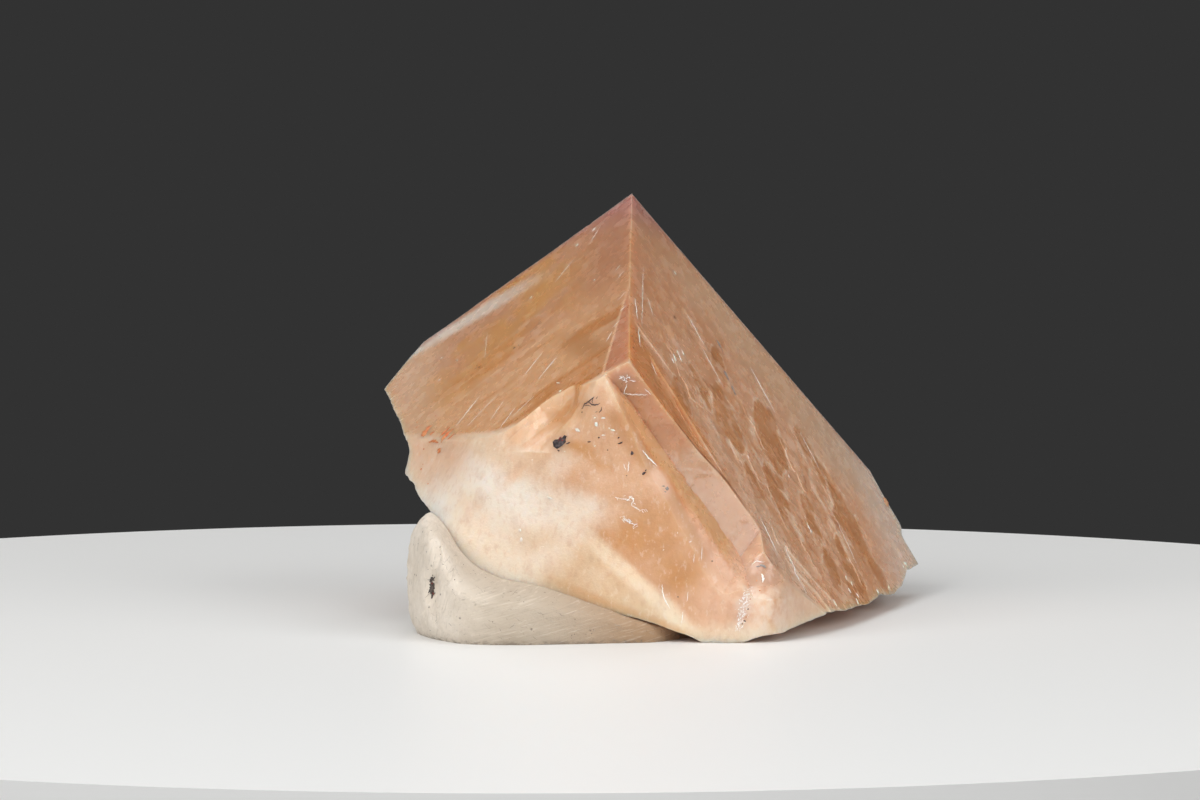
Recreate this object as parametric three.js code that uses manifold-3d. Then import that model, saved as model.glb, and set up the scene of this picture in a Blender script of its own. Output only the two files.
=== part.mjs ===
// Fluorite specimen: the corner of one large cube, broken from its group, resting on a lump of putty.
//
// Frame: millimetres, +Z up, the front faces -Y, the origin is under the middle of the whole piece.
// The crystal is worked in cube axes (p, q, r). They start at the cube's corner and follow its three
// edges: p down to the left, q down to the right and r down to the front. The cube faces are q = 0
// (left), p = 0 (right) and r = 0 (back). Every other side is a broken surface.

import * as THREE from 'three';
import { mergeVertices } from 'three/addons/utils/BufferGeometryUtils.js';
import Module from 'manifold-3d';

const manifold = await Module();
manifold.setup();

// ---------------------------------------------------------------- driving dimensions

const APEX = new THREE.Vector3(-2.29, 13.61, 44.7); // the cube's corner, the highest point
const FRONT_EDGE_DIP = 24.0;    // degrees the front edge falls below level
const FRONT_EDGE_SWING = 1.1;   // degrees the front edge points left of straight ahead
const CUBE_ROLL = 37.9;         // degrees the left edge falls, measured around the front edge

const CORNER_BLOCK = [44, 64, 62]; // cube corner before it is broken, along p, q and r
const CELL = 2.4;               // grid step of the broken surfaces
const FRONT_WAVE = 0.14;        // height of the front's unevenness
const HACKLY_WAVE = 0.42;       // height of the ends' and underside's unevenness

// The front's four broad facets. Each is a plane Y = depth + acrossSlope * X + upSlope * Z, where X and
// Y are counted from the apex. The crystal lies behind all four.
const FRONT_AHEAD = { depth: -40.2, acrossSlope: 0, upSlope: 0.105 };
const FRONT_TURNED_SLIGHTLY = { depth: -41.85, acrossSlope: -0.58, upSlope: 0.165 };
const FRONT_TURNED_LEFT = { depth: -74.9, acrossSlope: -1.83, upSlope: 0.98 };
const FRONT_TURNED_RIGHT = { depth: -63.2, acrossSlope: 1.65, upSlope: 0.1 };
const FRONT_ROUNDING = [1.5, 4, 2]; // how softly they meet: at the middle, the left and the right

// The underside, with X and Y counted from the apex.
const KEEL_X = 8.7;             // where its two slopes meet
const LEFT_RISE = 0.27;         // slope up to the left
const RIGHT_RISE = 0.07;        // slope up to the right
const RIGHT_LIFT = 0.45;        // height of the right slope at the keel
const TIP_X = 28.6;             // from here the right tip turns up
const TIP_RISE = 0.8;
const FEET = [[8.7, -39.3], [13.3, 4.1]]; // where the keel touches the table
const FOOT_RADIUS = 2.4;
const FOOT_DROP = 0.9;          // how far a foot reaches below the keel

// The left end, as a reach along p.
const LEFT_END_AT_BACK = 35.6;
const LEFT_END_TAPER = 0.25;    // how much shorter it gets per millimetre of r
const LEFT_END_LEAST = 29.4;
const LEFT_END_LEAN = 0.35;     // how much shorter it gets per millimetre of q
const LEFT_CLEAVAGE = 29.2;     // reach at the back edge, where the corner is cleaved off
const SPUR = { q: 0.6, r: 30.5, radius: 2.2, height: 1.3 };

// The right end, as a reach along q.
const RIGHT_END_AT_BACK = 43.4;
const RIGHT_END_FLARE = 0.85;   // how much longer it gets per millimetre of r
const RIGHT_END_LEAN = 0.3;     // how much shorter it gets per millimetre of p

const NOTCH_WIDTH = 3.2;        // stepped notch beside the front edge, along p
const NOTCH_TAPER = 0.05;       // how much narrower it gets per millimetre of q
const NOTCH_START = 40.5;       // where its front-facing step lies along r
const NOTCH_LENGTH = 21.8;      // how far it runs along q
const NOTCH_LEAN = [-0.33, 0.26]; // change of its step in r, per millimetre of p and q

const FIT_GAP = 0.32;           // clearance between the crystal and the putty
const PUTTY_CENTRE = [-7.7, -27.3]; // X, Y from the apex
const PUTTY_HALF_LENGTH = 15.3; // along X
const PUTTY_HALF_DEPTH = 16.0;  // along Y
const PUTTY_HEIGHT = 4.4;       // under the crystal, at the middle
const PUTTY_TAPER = 2.6;        // lower by this at its right end
const PUTTY_SHOULDER = 6.7;     // higher by this where it is squeezed up at the left

// Shallow ledges of the right face: start and end along r, start and end along q, depth at the start.
const RIGHT_FACE_LEDGES = [
  [33.5, 37.0, 5, 30, 0.45],
  [26.0, 30.5, 9, 26, 0.30],
  [35.0, 44.0, 29, 46, 0.60],
  [18.0, 22.5, 22, 41, 0.35],
];

// ---------------------------------------------------------------- helpers

const radians = THREE.MathUtils.degToRad;

function toSolid(geometry) {
  const bare = geometry.clone();
  bare.deleteAttribute('normal');
  bare.deleteAttribute('uv');
  const merged = mergeVertices(bare, 1e-4);
  return new manifold.Manifold(new manifold.Mesh({
    numProp: 3,
    vertProperties: new Float32Array(merged.attributes.position.array),
    triVerts: new Uint32Array(merged.index.array),
  }));
}

function toGeometry(solid) {
  const mesh = solid.getMesh();
  const geometry = new THREE.BufferGeometry();
  geometry.setAttribute('position', new THREE.BufferAttribute(mesh.vertProperties, 3));
  geometry.setIndex(new THREE.BufferAttribute(mesh.triVerts, 1));
  geometry.computeVertexNormals();
  return geometry;
}

function blend(a, b, width) {
  // The larger of two heights, rounded over where they meet.
  const overlap = Math.max(width - Math.abs(a - b), 0) / width;
  return Math.max(a, b) + overlap * overlap * width * 0.25;
}

function unevenness(u, v) {
  const swell = Math.sin(0.23 * u + 1.1 * Math.sin(0.19 * v)) * Math.cos(0.27 * v - 0.6);
  const hackle = Math.sin(0.71 * u + 0.9) * Math.sin(0.63 * v + 0.8 * Math.sin(0.4 * u));
  return swell + 0.7 * hackle;
}

function bump(u, v, radius) {
  return Math.exp(-(u * u + v * v) / (radius * radius));
}

// A block whose top is the surface w = height(u, v) and whose bottom is flat at w = floor.
function surfaceBlock([uMin, uMax], [vMin, vMax], height, floor, placing) {
  const block = new THREE.BoxGeometry(
    uMax - uMin, vMax - vMin, 1,
    Math.round((uMax - uMin) / CELL), Math.round((vMax - vMin) / CELL), 1,
  );
  const position = block.attributes.position;
  for (let i = 0; i < position.count; i += 1) {
    const u = position.getX(i) + (uMin + uMax) / 2;
    const v = position.getY(i) + (vMin + vMax) / 2;
    const w = position.getZ(i) > 0 ? height(u, v) : floor;
    position.setXYZ(i, u, v, w);
  }
  block.applyMatrix4(placing);
  return toSolid(block);
}

// ---------------------------------------------------------------- cube axes

const frontEdge = new THREE.Vector3(
  -Math.sin(radians(FRONT_EDGE_SWING)) * Math.cos(radians(FRONT_EDGE_DIP)),
  -Math.cos(radians(FRONT_EDGE_SWING)) * Math.cos(radians(FRONT_EDGE_DIP)),
  -Math.sin(radians(FRONT_EDGE_DIP)),
);
const levelLeft = new THREE.Vector3(
  -Math.cos(radians(FRONT_EDGE_SWING)),
  Math.sin(radians(FRONT_EDGE_SWING)),
  0,
);
const leftEdge = levelLeft.clone().applyAxisAngle(frontEdge, radians(CUBE_ROLL));
const rightEdge = new THREE.Vector3().crossVectors(frontEdge, leftEdge);
const cubeAxes = new THREE.Matrix4().makeBasis(leftEdge, rightEdge, frontEdge).setPosition(APEX);

// The same cube axes with q or p pointing out of a surface block.
const outAlongP = cubeAxes.clone().multiply(
  new THREE.Matrix4().makeBasis(
    new THREE.Vector3(0, 1, 0), new THREE.Vector3(0, 0, 1), new THREE.Vector3(1, 0, 0),
  ),
);
const outAlongQ = cubeAxes.clone().multiply(
  new THREE.Matrix4().makeBasis(
    new THREE.Vector3(0, 0, 1), new THREE.Vector3(1, 0, 0), new THREE.Vector3(0, 1, 0),
  ),
);
const outToFront = new THREE.Matrix4().makeBasis(
  new THREE.Vector3(1, 0, 0), new THREE.Vector3(0, 0, 1), new THREE.Vector3(0, -1, 0),
);
const outDown = new THREE.Matrix4().makeBasis(
  new THREE.Vector3(1, 0, 0), new THREE.Vector3(0, -1, 0), new THREE.Vector3(0, 0, -1),
);

// ---------------------------------------------------------------- broken surfaces

function planeDepth(facet, x, z) {
  return facet.depth + facet.acrossSlope * x + facet.upSlope * z;
}

// Depth Y of the front at X and Z.
function frontDepth(x, z) {
  const dx = x - APEX.x;
  const [middleRounding, leftRounding, rightRounding] = FRONT_ROUNDING;
  const slightly = planeDepth(FRONT_TURNED_SLIGHTLY, dx, z);
  const leftHalf = blend(slightly, planeDepth(FRONT_TURNED_LEFT, dx, z), leftRounding);
  const mostly = blend(planeDepth(FRONT_AHEAD, dx, z), leftHalf, middleRounding);
  const depth = blend(mostly, planeDepth(FRONT_TURNED_RIGHT, dx, z), rightRounding);
  return APEX.y + depth + FRONT_WAVE * unevenness(dx, z);
}

// Height Z of the underside at X and Y: a keel that stands on two small feet.
function undersideHeight(x, y) {
  const dx = x - APEX.x;
  const dy = y - APEX.y;
  const left = LEFT_RISE * (KEEL_X - dx);
  const right = RIGHT_LIFT + RIGHT_RISE * (dx - KEEL_X) + TIP_RISE * Math.max(dx - TIP_X, 0);
  let height = Math.max(left, right) + 0.5 * HACKLY_WAVE * unevenness(dx, dy);
  for (const [footX, footY] of FEET) {
    height -= FOOT_DROP * bump(dx - footX, dy - footY, FOOT_RADIUS);
  }
  return Math.max(height, 0);
}

// Reach p of the left end: nearly square to the left edge, with its back corner cleaved off.
function leftEndReach(q, r) {
  const end = Math.max(LEFT_END_AT_BACK - LEFT_END_TAPER * r, LEFT_END_LEAST);
  const cleavage = LEFT_CLEAVAGE + r;
  const spur = SPUR.height * bump(q - SPUR.q, r - SPUR.r, SPUR.radius);
  return Math.min(end, cleavage) - LEFT_END_LEAN * q + spur + HACKLY_WAVE * unevenness(q, r);
}

// Reach q of the right end: it slants outwards from the back to the front.
function rightEndReach(r, p) {
  const slant = RIGHT_END_FLARE * r - RIGHT_END_LEAN * p;
  return RIGHT_END_AT_BACK + slant + HACKLY_WAVE * unevenness(r, p);
}

// ---------------------------------------------------------------- crystal

function cubeBlock([p0, p1], [q0, q1], [r0, r1]) {
  const block = new THREE.BoxGeometry(p1 - p0, q1 - q0, r1 - r0);
  block.translate((p0 + p1) / 2, (q0 + q1) / 2, (r0 + r1) / 2);
  return block;
}

function stepNotch() {
  const notch = cubeBlock([-5, NOTCH_WIDTH], [-5, NOTCH_LENGTH], [0, 30]);
  const position = notch.attributes.position;
  for (let i = 0; i < position.count; i += 1) {
    const lean = NOTCH_LEAN[0] * position.getX(i) + NOTCH_LEAN[1] * position.getY(i);
    position.setZ(i, position.getZ(i) + NOTCH_START + lean);
    if (position.getX(i) > 0) {
      position.setX(i, NOTCH_WIDTH - NOTCH_TAPER * position.getY(i));
    }
  }
  notch.applyMatrix4(cubeAxes);
  return toSolid(notch);
}

// A ledge is deepest at its start along r, where it steps down, and runs out to nothing at its end.
function rightFaceLedge([r0, r1, q0, q1, depth]) {
  const ledge = cubeBlock([-5, depth], [q0, q1], [r0, r1]);
  const position = ledge.attributes.position;
  for (let i = 0; i < position.count; i += 1) {
    if (position.getX(i) > 0 && position.getZ(i) > (r0 + r1) / 2) {
      position.setX(i, 0);
    }
  }
  ledge.applyMatrix4(cubeAxes);
  return toSolid(ledge);
}

function crystalSolid() {
  const [pMax, qMax, rMax] = CORNER_BLOCK;
  const corner = cubeBlock([0, pMax], [0, qMax], [0, rMax]);
  corner.applyMatrix4(cubeAxes);
  let crystal = toSolid(corner);
  const front = (x, z) => -frontDepth(x, z);
  const underside = (x, v) => -undersideHeight(x, -v);
  crystal = crystal.intersect(surfaceBlock([-38, 40], [-10, 50], front, -60, outToFront));
  crystal = crystal.intersect(surfaceBlock([-38, 40], [-40, 50], underside, -60, outDown));
  crystal = crystal.intersect(surfaceBlock([-6, 66], [-6, 66], leftEndReach, -20, outAlongP));
  crystal = crystal.intersect(surfaceBlock([-6, 66], [-6, 50], rightEndReach, -20, outAlongQ));
  crystal = crystal.subtract(stepNotch());
  for (const ledge of RIGHT_FACE_LEDGES) {
    crystal = crystal.subtract(rightFaceLedge(ledge));
  }
  return crystal;
}

// ---------------------------------------------------------------- putty

// A squeezed bun, lofted along X from flattened rings. Its base is cut flat where it meets the table.
function puttyLump() {
  const lump = new THREE.SphereGeometry(1, 40, 28);
  lump.rotateZ(Math.PI / 2);
  const position = lump.attributes.position;
  for (let i = 0; i < position.count; i += 1) {
    const along = position.getX(i);
    const ring = Math.hypot(position.getY(i), position.getZ(i));
    const angle = Math.atan2(position.getZ(i), position.getY(i));
    const girth = ring ** 0.55;
    const across = girth * squared(Math.cos(angle));
    const up = girth * squared(Math.sin(angle));
    const swell = THREE.MathUtils.smoothstep(-along, 0.42, 0.86);
    const height = PUTTY_HEIGHT - PUTTY_TAPER * along + PUTTY_SHOULDER * swell;
    const middle = 0.5 + 0.12 * swell;
    const reach = up > 0 ? 1.02 - middle : 0.95 - 0.1 * swell;
    position.setXYZ(
      i,
      APEX.x + PUTTY_CENTRE[0] + PUTTY_HALF_LENGTH * along,
      APEX.y + PUTTY_CENTRE[1] + PUTTY_HALF_DEPTH * across,
      height * (middle + reach * up),
    );
  }
  return toSolid(lump);
}

// Fuller than a circle: lifts the middle values of a sine or cosine.
function squared(value) {
  return Math.sign(value) * Math.abs(value) ** 0.7;
}

// The lump takes the crystal's print: the crystal is cut away from it a fit gap down, left and forward.
function puttySolid(crystal) {
  const aboveTable = new THREE.BoxGeometry(80, 80, 40);
  aboveTable.translate(0, 0, 20);
  const shifts = [
    [0, 0, -FIT_GAP * 1.15],
    [-FIT_GAP, 0, 0],
    [0, -FIT_GAP, 0],
    [-FIT_GAP, -FIT_GAP, -FIT_GAP],
  ];
  let putty = puttyLump().intersect(toSolid(aboveTable));
  for (const shift of shifts) {
    putty = putty.subtract(crystal.translate(shift));
  }
  return putty;
}

// ---------------------------------------------------------------- scene graph

function namedMesh(name, solid, material) {
  const mesh = new THREE.Mesh(toGeometry(solid), material);
  mesh.name = name;
  return mesh;
}

const fluoriteMaterial = new THREE.MeshStandardMaterial({ color: 0xd3a583, roughness: 0.25, metalness: 0 });
const puttyMaterial = new THREE.MeshStandardMaterial({ color: 0xcfc8bd, roughness: 0.9, metalness: 0 });

const crystal = crystalSolid();
const group = new THREE.Group();
group.add(namedMesh('crystal', crystal, fluoriteMaterial));
group.add(namedMesh('putty', puttySolid(crystal), puttyMaterial));

export default group;
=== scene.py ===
"""Looks of the fluorite specimen: the finely broken cube corner, its putty, and the marks set into both.

Lengths below are millimetres and are scaled to metres where meshes are made. The crystal is worked in
cube axes (p, q, r) from the cube's corner: p down the left edge, q down the right edge, r down the
front edge. The cube faces are q = 0 (left), p = 0 (right) and r = 0 (back).
"""
import math

import bmesh
import bpy
import numpy as np
from mathutils import Matrix, Vector
from mathutils.bvhtree import BVHTree


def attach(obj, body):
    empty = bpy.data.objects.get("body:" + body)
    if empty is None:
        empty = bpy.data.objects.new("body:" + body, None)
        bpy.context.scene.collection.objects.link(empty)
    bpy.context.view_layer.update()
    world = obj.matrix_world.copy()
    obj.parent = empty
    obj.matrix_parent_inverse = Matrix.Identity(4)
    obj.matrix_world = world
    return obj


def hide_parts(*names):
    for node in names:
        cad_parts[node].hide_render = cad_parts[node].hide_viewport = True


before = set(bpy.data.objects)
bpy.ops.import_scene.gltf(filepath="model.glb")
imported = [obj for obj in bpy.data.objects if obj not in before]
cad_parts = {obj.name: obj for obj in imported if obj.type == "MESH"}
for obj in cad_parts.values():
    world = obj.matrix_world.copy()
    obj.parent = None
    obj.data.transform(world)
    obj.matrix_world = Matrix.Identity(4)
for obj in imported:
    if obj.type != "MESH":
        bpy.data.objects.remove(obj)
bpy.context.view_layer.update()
MM = 0.001
IN_FRONT = -60     # Y of a plane well in front of the specimen
OFF_A_FACE = -3.0  # just outside a cube face
DEEP = -70         # how far down a cutting block reaches

# ------------------------------------------------------------------ cube axes

APEX = np.array([-2.29, 13.61, 44.7])
FRONT_EDGE_DIP = math.radians(24.0)
FRONT_EDGE_SWING = math.radians(1.1)
CUBE_ROLL = math.radians(37.9)

front_edge = np.array([
    -math.sin(FRONT_EDGE_SWING) * math.cos(FRONT_EDGE_DIP),
    -math.cos(FRONT_EDGE_SWING) * math.cos(FRONT_EDGE_DIP),
    -math.sin(FRONT_EDGE_DIP),
])
level_left = Vector((-math.cos(FRONT_EDGE_SWING), math.sin(FRONT_EDGE_SWING), 0))
left_edge = np.array(Matrix.Rotation(CUBE_ROLL, 3, Vector(front_edge)) @ level_left)
right_edge = np.cross(front_edge, left_edge)


def from_cube(p, q, r):
    """Cube coordinates to X, Y, Z."""
    p, q, r = np.broadcast_arrays(p, q, r)
    return APEX + p[..., None] * left_edge + q[..., None] * right_edge + r[..., None] * front_edge


# ------------------------------------------------------------------ noise and relief

def cell_hash(i, j, seed):
    h = (i * 374761393 + j * 668265263 + seed * 974711) & 0xFFFFFFFF
    h = ((h ^ (h >> 13)) * 1274126177) & 0xFFFFFFFF
    return (h ^ (h >> 16)) & 0xFFFF


def noise2(u, v, seed):
    """Smooth noise of about -0.7 to 0.7 with one cell per unit."""
    u, v = np.broadcast_arrays(np.asarray(u, float), np.asarray(v, float))
    i, j = np.floor(u).astype(np.int64), np.floor(v).astype(np.int64)
    fu, fv = u - i, v - j
    su, sv = (f * f * f * (f * (f * 6 - 15) + 10) for f in (fu, fv))
    corner = {}
    for di in (0, 1):
        for dj in (0, 1):
            angle = cell_hash(i + di, j + dj, seed) * (2 * math.pi / 65536)
            corner[di, dj] = np.cos(angle) * (fu - di) + np.sin(angle) * (fv - dj)
    near = corner[0, 0] + su * (corner[1, 0] - corner[0, 0])
    far = corner[0, 1] + su * (corner[1, 1] - corner[0, 1])
    return near + sv * (far - near)


def fractal(u, v, seed, octaves=3, gain=0.5):
    total, weight = 0, 1
    for k in range(octaves):
        total = total + weight * noise2(u * 2**k, v * 2**k, seed + 31 * k)
        weight *= gain
    return total


def scallops(u, v, seed, tilt=0.5):
    """Shallow shell-like bowls with sharp ridges between them, one bowl per unit cell."""
    u, v = np.broadcast_arrays(np.asarray(u, float), np.asarray(v, float))
    i, j = np.floor(u).astype(np.int64), np.floor(v).astype(np.int64)
    lowest = np.full(u.shape, 9.0)
    for di in (-1, 0, 1):
        for dj in (-1, 0, 1):
            a, b = i + di, j + dj
            du = u - a - cell_hash(a, b, seed) / 65536
            dv = v - b - cell_hash(a, b, seed + 7) / 65536
            lean_u = cell_hash(a, b, seed + 13) / 32768 - 1
            lean_v = cell_hash(a, b, seed + 19) / 32768 - 1
            lift = cell_hash(a, b, seed + 23) / 65536
            lowest = np.minimum(lowest, du**2 + dv**2 + tilt * (lean_u * du + lean_v * dv) + 0.3 * lift)
    return lowest - 0.45


def bowls(u, v, coarse, fine):
    """Shell-like bowls of two sizes, each (depth, length along u, length along v, seed)."""
    parts = [depth * scallops(u / long, v / wide, seed) for depth, long, wide, seed in (coarse, fine)]
    return parts[0] + parts[1]


def blend(a, b, width):
    overlap = np.maximum(width - np.abs(a - b), 0) / width
    return np.maximum(a, b) + overlap * overlap * width * 0.25


def unevenness(u, v):
    swell = np.sin(0.23 * u + 1.1 * np.sin(0.19 * v)) * np.cos(0.27 * v - 0.6)
    hackle = np.sin(0.71 * u + 0.9) * np.sin(0.63 * v + 0.8 * np.sin(0.4 * u))
    return swell + 0.7 * hackle


def bump(u, v, radius):
    return np.exp(-(u * u + v * v) / (radius * radius))


def step(x, low, high):
    t = np.clip((x - low) / (high - low), 0, 1)
    return t * t * (3 - 2 * t)


# ------------------------------------------------------------------ broken surfaces

# The broken front's facets: depth from the apex, and how it changes for each millimetre across and up.
AHEAD = (-40.2, 0.0, 0.105)
TURNED_SLIGHTLY = (-41.85, -0.58, 0.165)
TURNED_LEFT = (-74.9, -1.83, 0.98)
TURNED_RIGHT = (-63.2, 1.65, 0.1)


def front_depth(x, z):
    """Depth Y of the broken front."""
    dx = x - APEX[0]

    def plane(facet):
        depth, across, up = facet
        return depth + across * dx + up * z

    mostly = blend(plane(AHEAD), blend(plane(TURNED_SLIGHTLY), plane(TURNED_LEFT), 4), 1.5)
    return APEX[1] + blend(mostly, plane(TURNED_RIGHT), 2) + 0.14 * unevenness(dx, z)


def fine_front_depth(x, z):
    """The same with its shell-like bowls, ripples and, at the lower right, small steps."""
    dx = x - APEX[0]
    rough = 0.35 + 0.65 * step(dx - 0.5 * (z - 10), -2, 12)
    shells = 0.42 * scallops(dx / 7.5 + 0.3, z / 6.0, 5) + 0.16 * scallops(dx / 2.6, z / 2.2, 9)
    grain = 0.10 * fractal(dx / 1.7, z / 1.7, 3, 3)
    return front_depth(x, z) + rough * (shells * 0.8 + grain) + 0.12


def underside_height(x, y):
    dx, dy = x - APEX[0], y - APEX[1]
    dips = np.interp(dx, [-23, -17, -13.7, -11.7, -9.7, -7.5, -6.8, -5.7, -3.7, 0.3, 3],
                     [0, -0.55, -0.9, -0.65, -0.1, 0.05, -0.4, -0.3, 0, 0.25, 0])
    rises = np.interp(dx, [13.5, 16.3, 18.3, 22.3, 24.3, 26.3, 27.5, 28.2, 30.4, 31.8],
                      [0, 0.35, 0.6, 0.55, 0.35, 0.35, 0.1, -0.2, 1.35, 1.5])
    left, right = 0.27 * (8.7 - dx) + dips, 0.45 + 0.055 * (dx - 8.7) + rises
    height = np.maximum(left, right) + 0.21 * unevenness(dx, dy)
    hackly = bowls(dx, dy, (0.45, 6.5, 6.5, 17), (0.2, 2.4, 2.4, 21))
    calm = 0.75 + 0.25 * step(dy, -38, -30)
    height = height + 0.08 + calm * (hackly + 0.08 * fractal(dx / 1.2, dy / 1.2, 29, 2))
    for foot_x, foot_y in ((8.7, -39.3), (13.3, 4.1)):
        height = height - 1.3 * bump(dx - foot_x, dy - foot_y, 2.4)
    return np.maximum(height, 0)


def left_end_reach(q, r):
    end = np.maximum(35.6 - 0.25 * r, 29.4)
    cleavage = 29.2 + r
    spur = 1.7 * bump(q - 1.0, r - 27.0, 1.4)
    bulge = np.interp(r, [0, 5, 12, 23, 25, 27.6, 28.6, 30, 32, 36, 40],
                      [0.3, 0.5, 0.4, 0.3, 1.1, 1.1, 1.7, 1.3, 1.25, 0.35, -0.1])
    spur = spur + bulge * step(q, 8, 4)
    calm = step(q, 1, 6)
    reach = np.minimum(end, cleavage) - 0.35 * q + spur + (0.16 + 0.26 * calm) * unevenness(q, r)
    hackly = bowls(q, r, (0.6, 5.0, 6.0, 41), (0.25, 1.8, 2.2, 43))
    return reach - 0.1 - (0.2 + 0.8 * calm) * hackly - 0.12 * fractal(q, r / 1.3, 47, 2)


def right_end_reach(r, p):
    reach = 43.4 + 0.85 * r - 0.3 * p + 0.42 * unevenness(r, p)
    hackly = bowls(r, p, (0.7, 5.5, 4.5, 51), (0.3, 2.0, 1.7, 53))
    spur = 1.2 * bump(r - 4.8, p, 1.5) - 0.9 * bump(r - 7.4, p, 1.4) + 0.3 * bump(r - 10.0, p - 0.4, 1.3)
    return reach - 0.1 - hackly * (0.4 + 0.6 * step(p, 1, 5)) - 0.1 * fractal(r, p, 57, 2) + spur


# ------------------------------------------------------------------ meshes

def mesh_of(name, points, faces):
    mesh = bpy.data.meshes.new(name)
    mesh.from_pydata((np.asarray(points) * MM).tolist(), [], faces)
    mesh.validate()
    return mesh


def outward(mesh):
    """Makes sure that a closed mesh's faces look outwards."""
    bm = bmesh.new()
    bm.from_mesh(mesh)
    if bm.calc_volume(signed=True) < 0:
        bmesh.ops.reverse_faces(bm, faces=bm.faces)
    bm.to_mesh(mesh)
    bm.free()
    return mesh


def sheet_block(name, u, v, w, floor, place):
    """A block whose top is the sheet w(u, v), given as grids, and whose bottom is flat at w = floor."""
    n, m = u.shape
    top = place(u, v, w).reshape(-1, 3)
    index = np.arange(n * m).reshape(n, m)
    ring = np.concatenate([index[:-1, 0], index[-1, :-1], index[:0:-1, -1], index[0, :0:-1]])
    low = place(u.ravel()[ring], v.ravel()[ring], np.full(len(ring), float(floor)))
    quads = np.stack([index[:-1, :-1], index[1:, :-1], index[1:, 1:], index[:-1, 1:]], -1).reshape(-1, 4)
    faces = quads.tolist()
    below = n * m + np.arange(len(ring))
    for k in range(len(ring)):
        j = (k + 1) % len(ring)
        faces.append([int(ring[j]), int(ring[k]), int(below[k]), int(below[j])])
    faces.append(below[::-1].tolist())
    return outward(mesh_of(name, np.vstack([top, low]), faces))


def grid(u_range, v_range, cell):
    us = np.linspace(*u_range, int(round((u_range[1] - u_range[0]) / cell)) + 1)
    vs = np.linspace(*v_range, int(round((v_range[1] - v_range[0]) / cell)) + 1)
    return np.meshgrid(us, vs, indexing="ij")


def prism(name, corners, low, high, place):
    """A closed prism from corners (u, v) between w = low(u, v) and w = high(u, v)."""
    u, v = np.array(corners, float).T
    n = len(u)
    points = np.vstack([place(u, v, low + 0 * u), place(u, v, high + 0 * u)])
    faces = [list(range(n))[::-1], list(range(n, 2 * n))]
    faces += [[k, (k + 1) % n, n + (k + 1) % n, n + k] for k in range(n)]
    return outward(mesh_of(name, points, faces))


def carve(mesh, steps):
    """Runs booleans in order; steps are (operation, mesh) pairs."""
    base = bpy.data.objects.new("carving", mesh)
    bpy.context.collection.objects.link(base)
    tools = []
    for operation, tool_mesh in steps:
        tool = bpy.data.objects.new("tool", tool_mesh)
        bpy.context.collection.objects.link(tool)
        tools.append(tool)
        cut = base.modifiers.new("cut", "BOOLEAN")
        cut.operation, cut.solver, cut.object = operation, "MANIFOLD", tool
    bpy.context.view_layer.update()
    evaluated = base.evaluated_get(bpy.context.evaluated_depsgraph_get())
    result = bpy.data.meshes.new_from_object(evaluated)
    for obj in tools + [base]:
        bpy.data.objects.remove(obj)
    return result


# ------------------------------------------------------------------ cube faces

def left_face_sheet():
    p, r = grid((-3, 46), (-3, 66), 0.6)
    relief = 0.05 + 0.07 * fractal(p / 9, r / 9, 61, 2) + 0.02 * fractal(p / 1.6, r / 6, 63, 2)
    relief = relief * step(np.abs(p) + np.abs(r), 0, 5)
    return sheet_block("left_face", p, r, -np.maximum(relief, 0), DEEP, lambda u, v, w: from_cube(u, -w, v))


def back_face_sheet():
    p, q = grid((-3, 46), (-3, 66), 0.6)
    terraces = np.floor(3.2 + 2.6 * fractal(p / 15, q / 15, 71, 2) + 0.12 * noise2(p / 2, q / 2, 73))
    relief = 0.06 + 0.05 * np.clip(terraces, 0, 6) * step(np.minimum(p, q), 0.5, 4)
    relief = relief + 0.02 * fractal(p / 3, q / 3, 77, 2)
    relief = relief * step(np.abs(p) + np.abs(q), 0, 5)
    return sheet_block("back_face", p, q, -np.maximum(relief, 0), DEEP, lambda u, v, w: from_cube(u, v, -w))


def ledge_sheet(name, q, ledges, slope, low, high, seed):
    """A right face that falls in ledges. Each ledge is (line along q, depth along q, run-out)."""
    lines = [line for line, _, _ in ledges]
    for k in range(1, len(lines)):
        lines[k] = np.maximum(lines[k], lines[k - 1] + 0.45)

    def depth_at(r, side):
        total = np.full(q.shape, 0.04)
        for line, (_, depth, run_out) in zip(lines, ledges):
            t = (r - line + 1e-6 * side) / run_out
            total = total + np.where(t < 0, 0, depth * np.clip(1 - t, 0, 1))
        return total

    rows = []
    edges = [low + slope * q, *lines, high + slope * q]
    for k in range(len(edges) - 1):
        count = 4 if 0 < k < len(edges) - 2 else 6
        for j in range(count + 1):
            r = edges[k] + (edges[k + 1] - edges[k]) * j / count
            r = r + (0.03 if j == 0 and k else 0) - (0.03 if j == count and k < len(lines) else 0)
            rows.append((r, depth_at(r, 1 if j == 0 else (-1 if j == count else 0))))
    r = np.array([row[0] for row in rows]).T
    p = np.array([row[1] for row in rows]).T
    q_grid = np.repeat(q[:, None], r.shape[1], 1)
    p = p + 0.03 * fractal(q_grid / 4, r / 1.4, seed, 2) * step(r, 2, 10)
    p = p * step(np.abs(q_grid) + np.abs(r), 0, 5)
    return sheet_block(name, q_grid, r, -np.maximum(p, 0), DEEP, lambda u, v, w: from_cube(-w, u, v))


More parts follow.
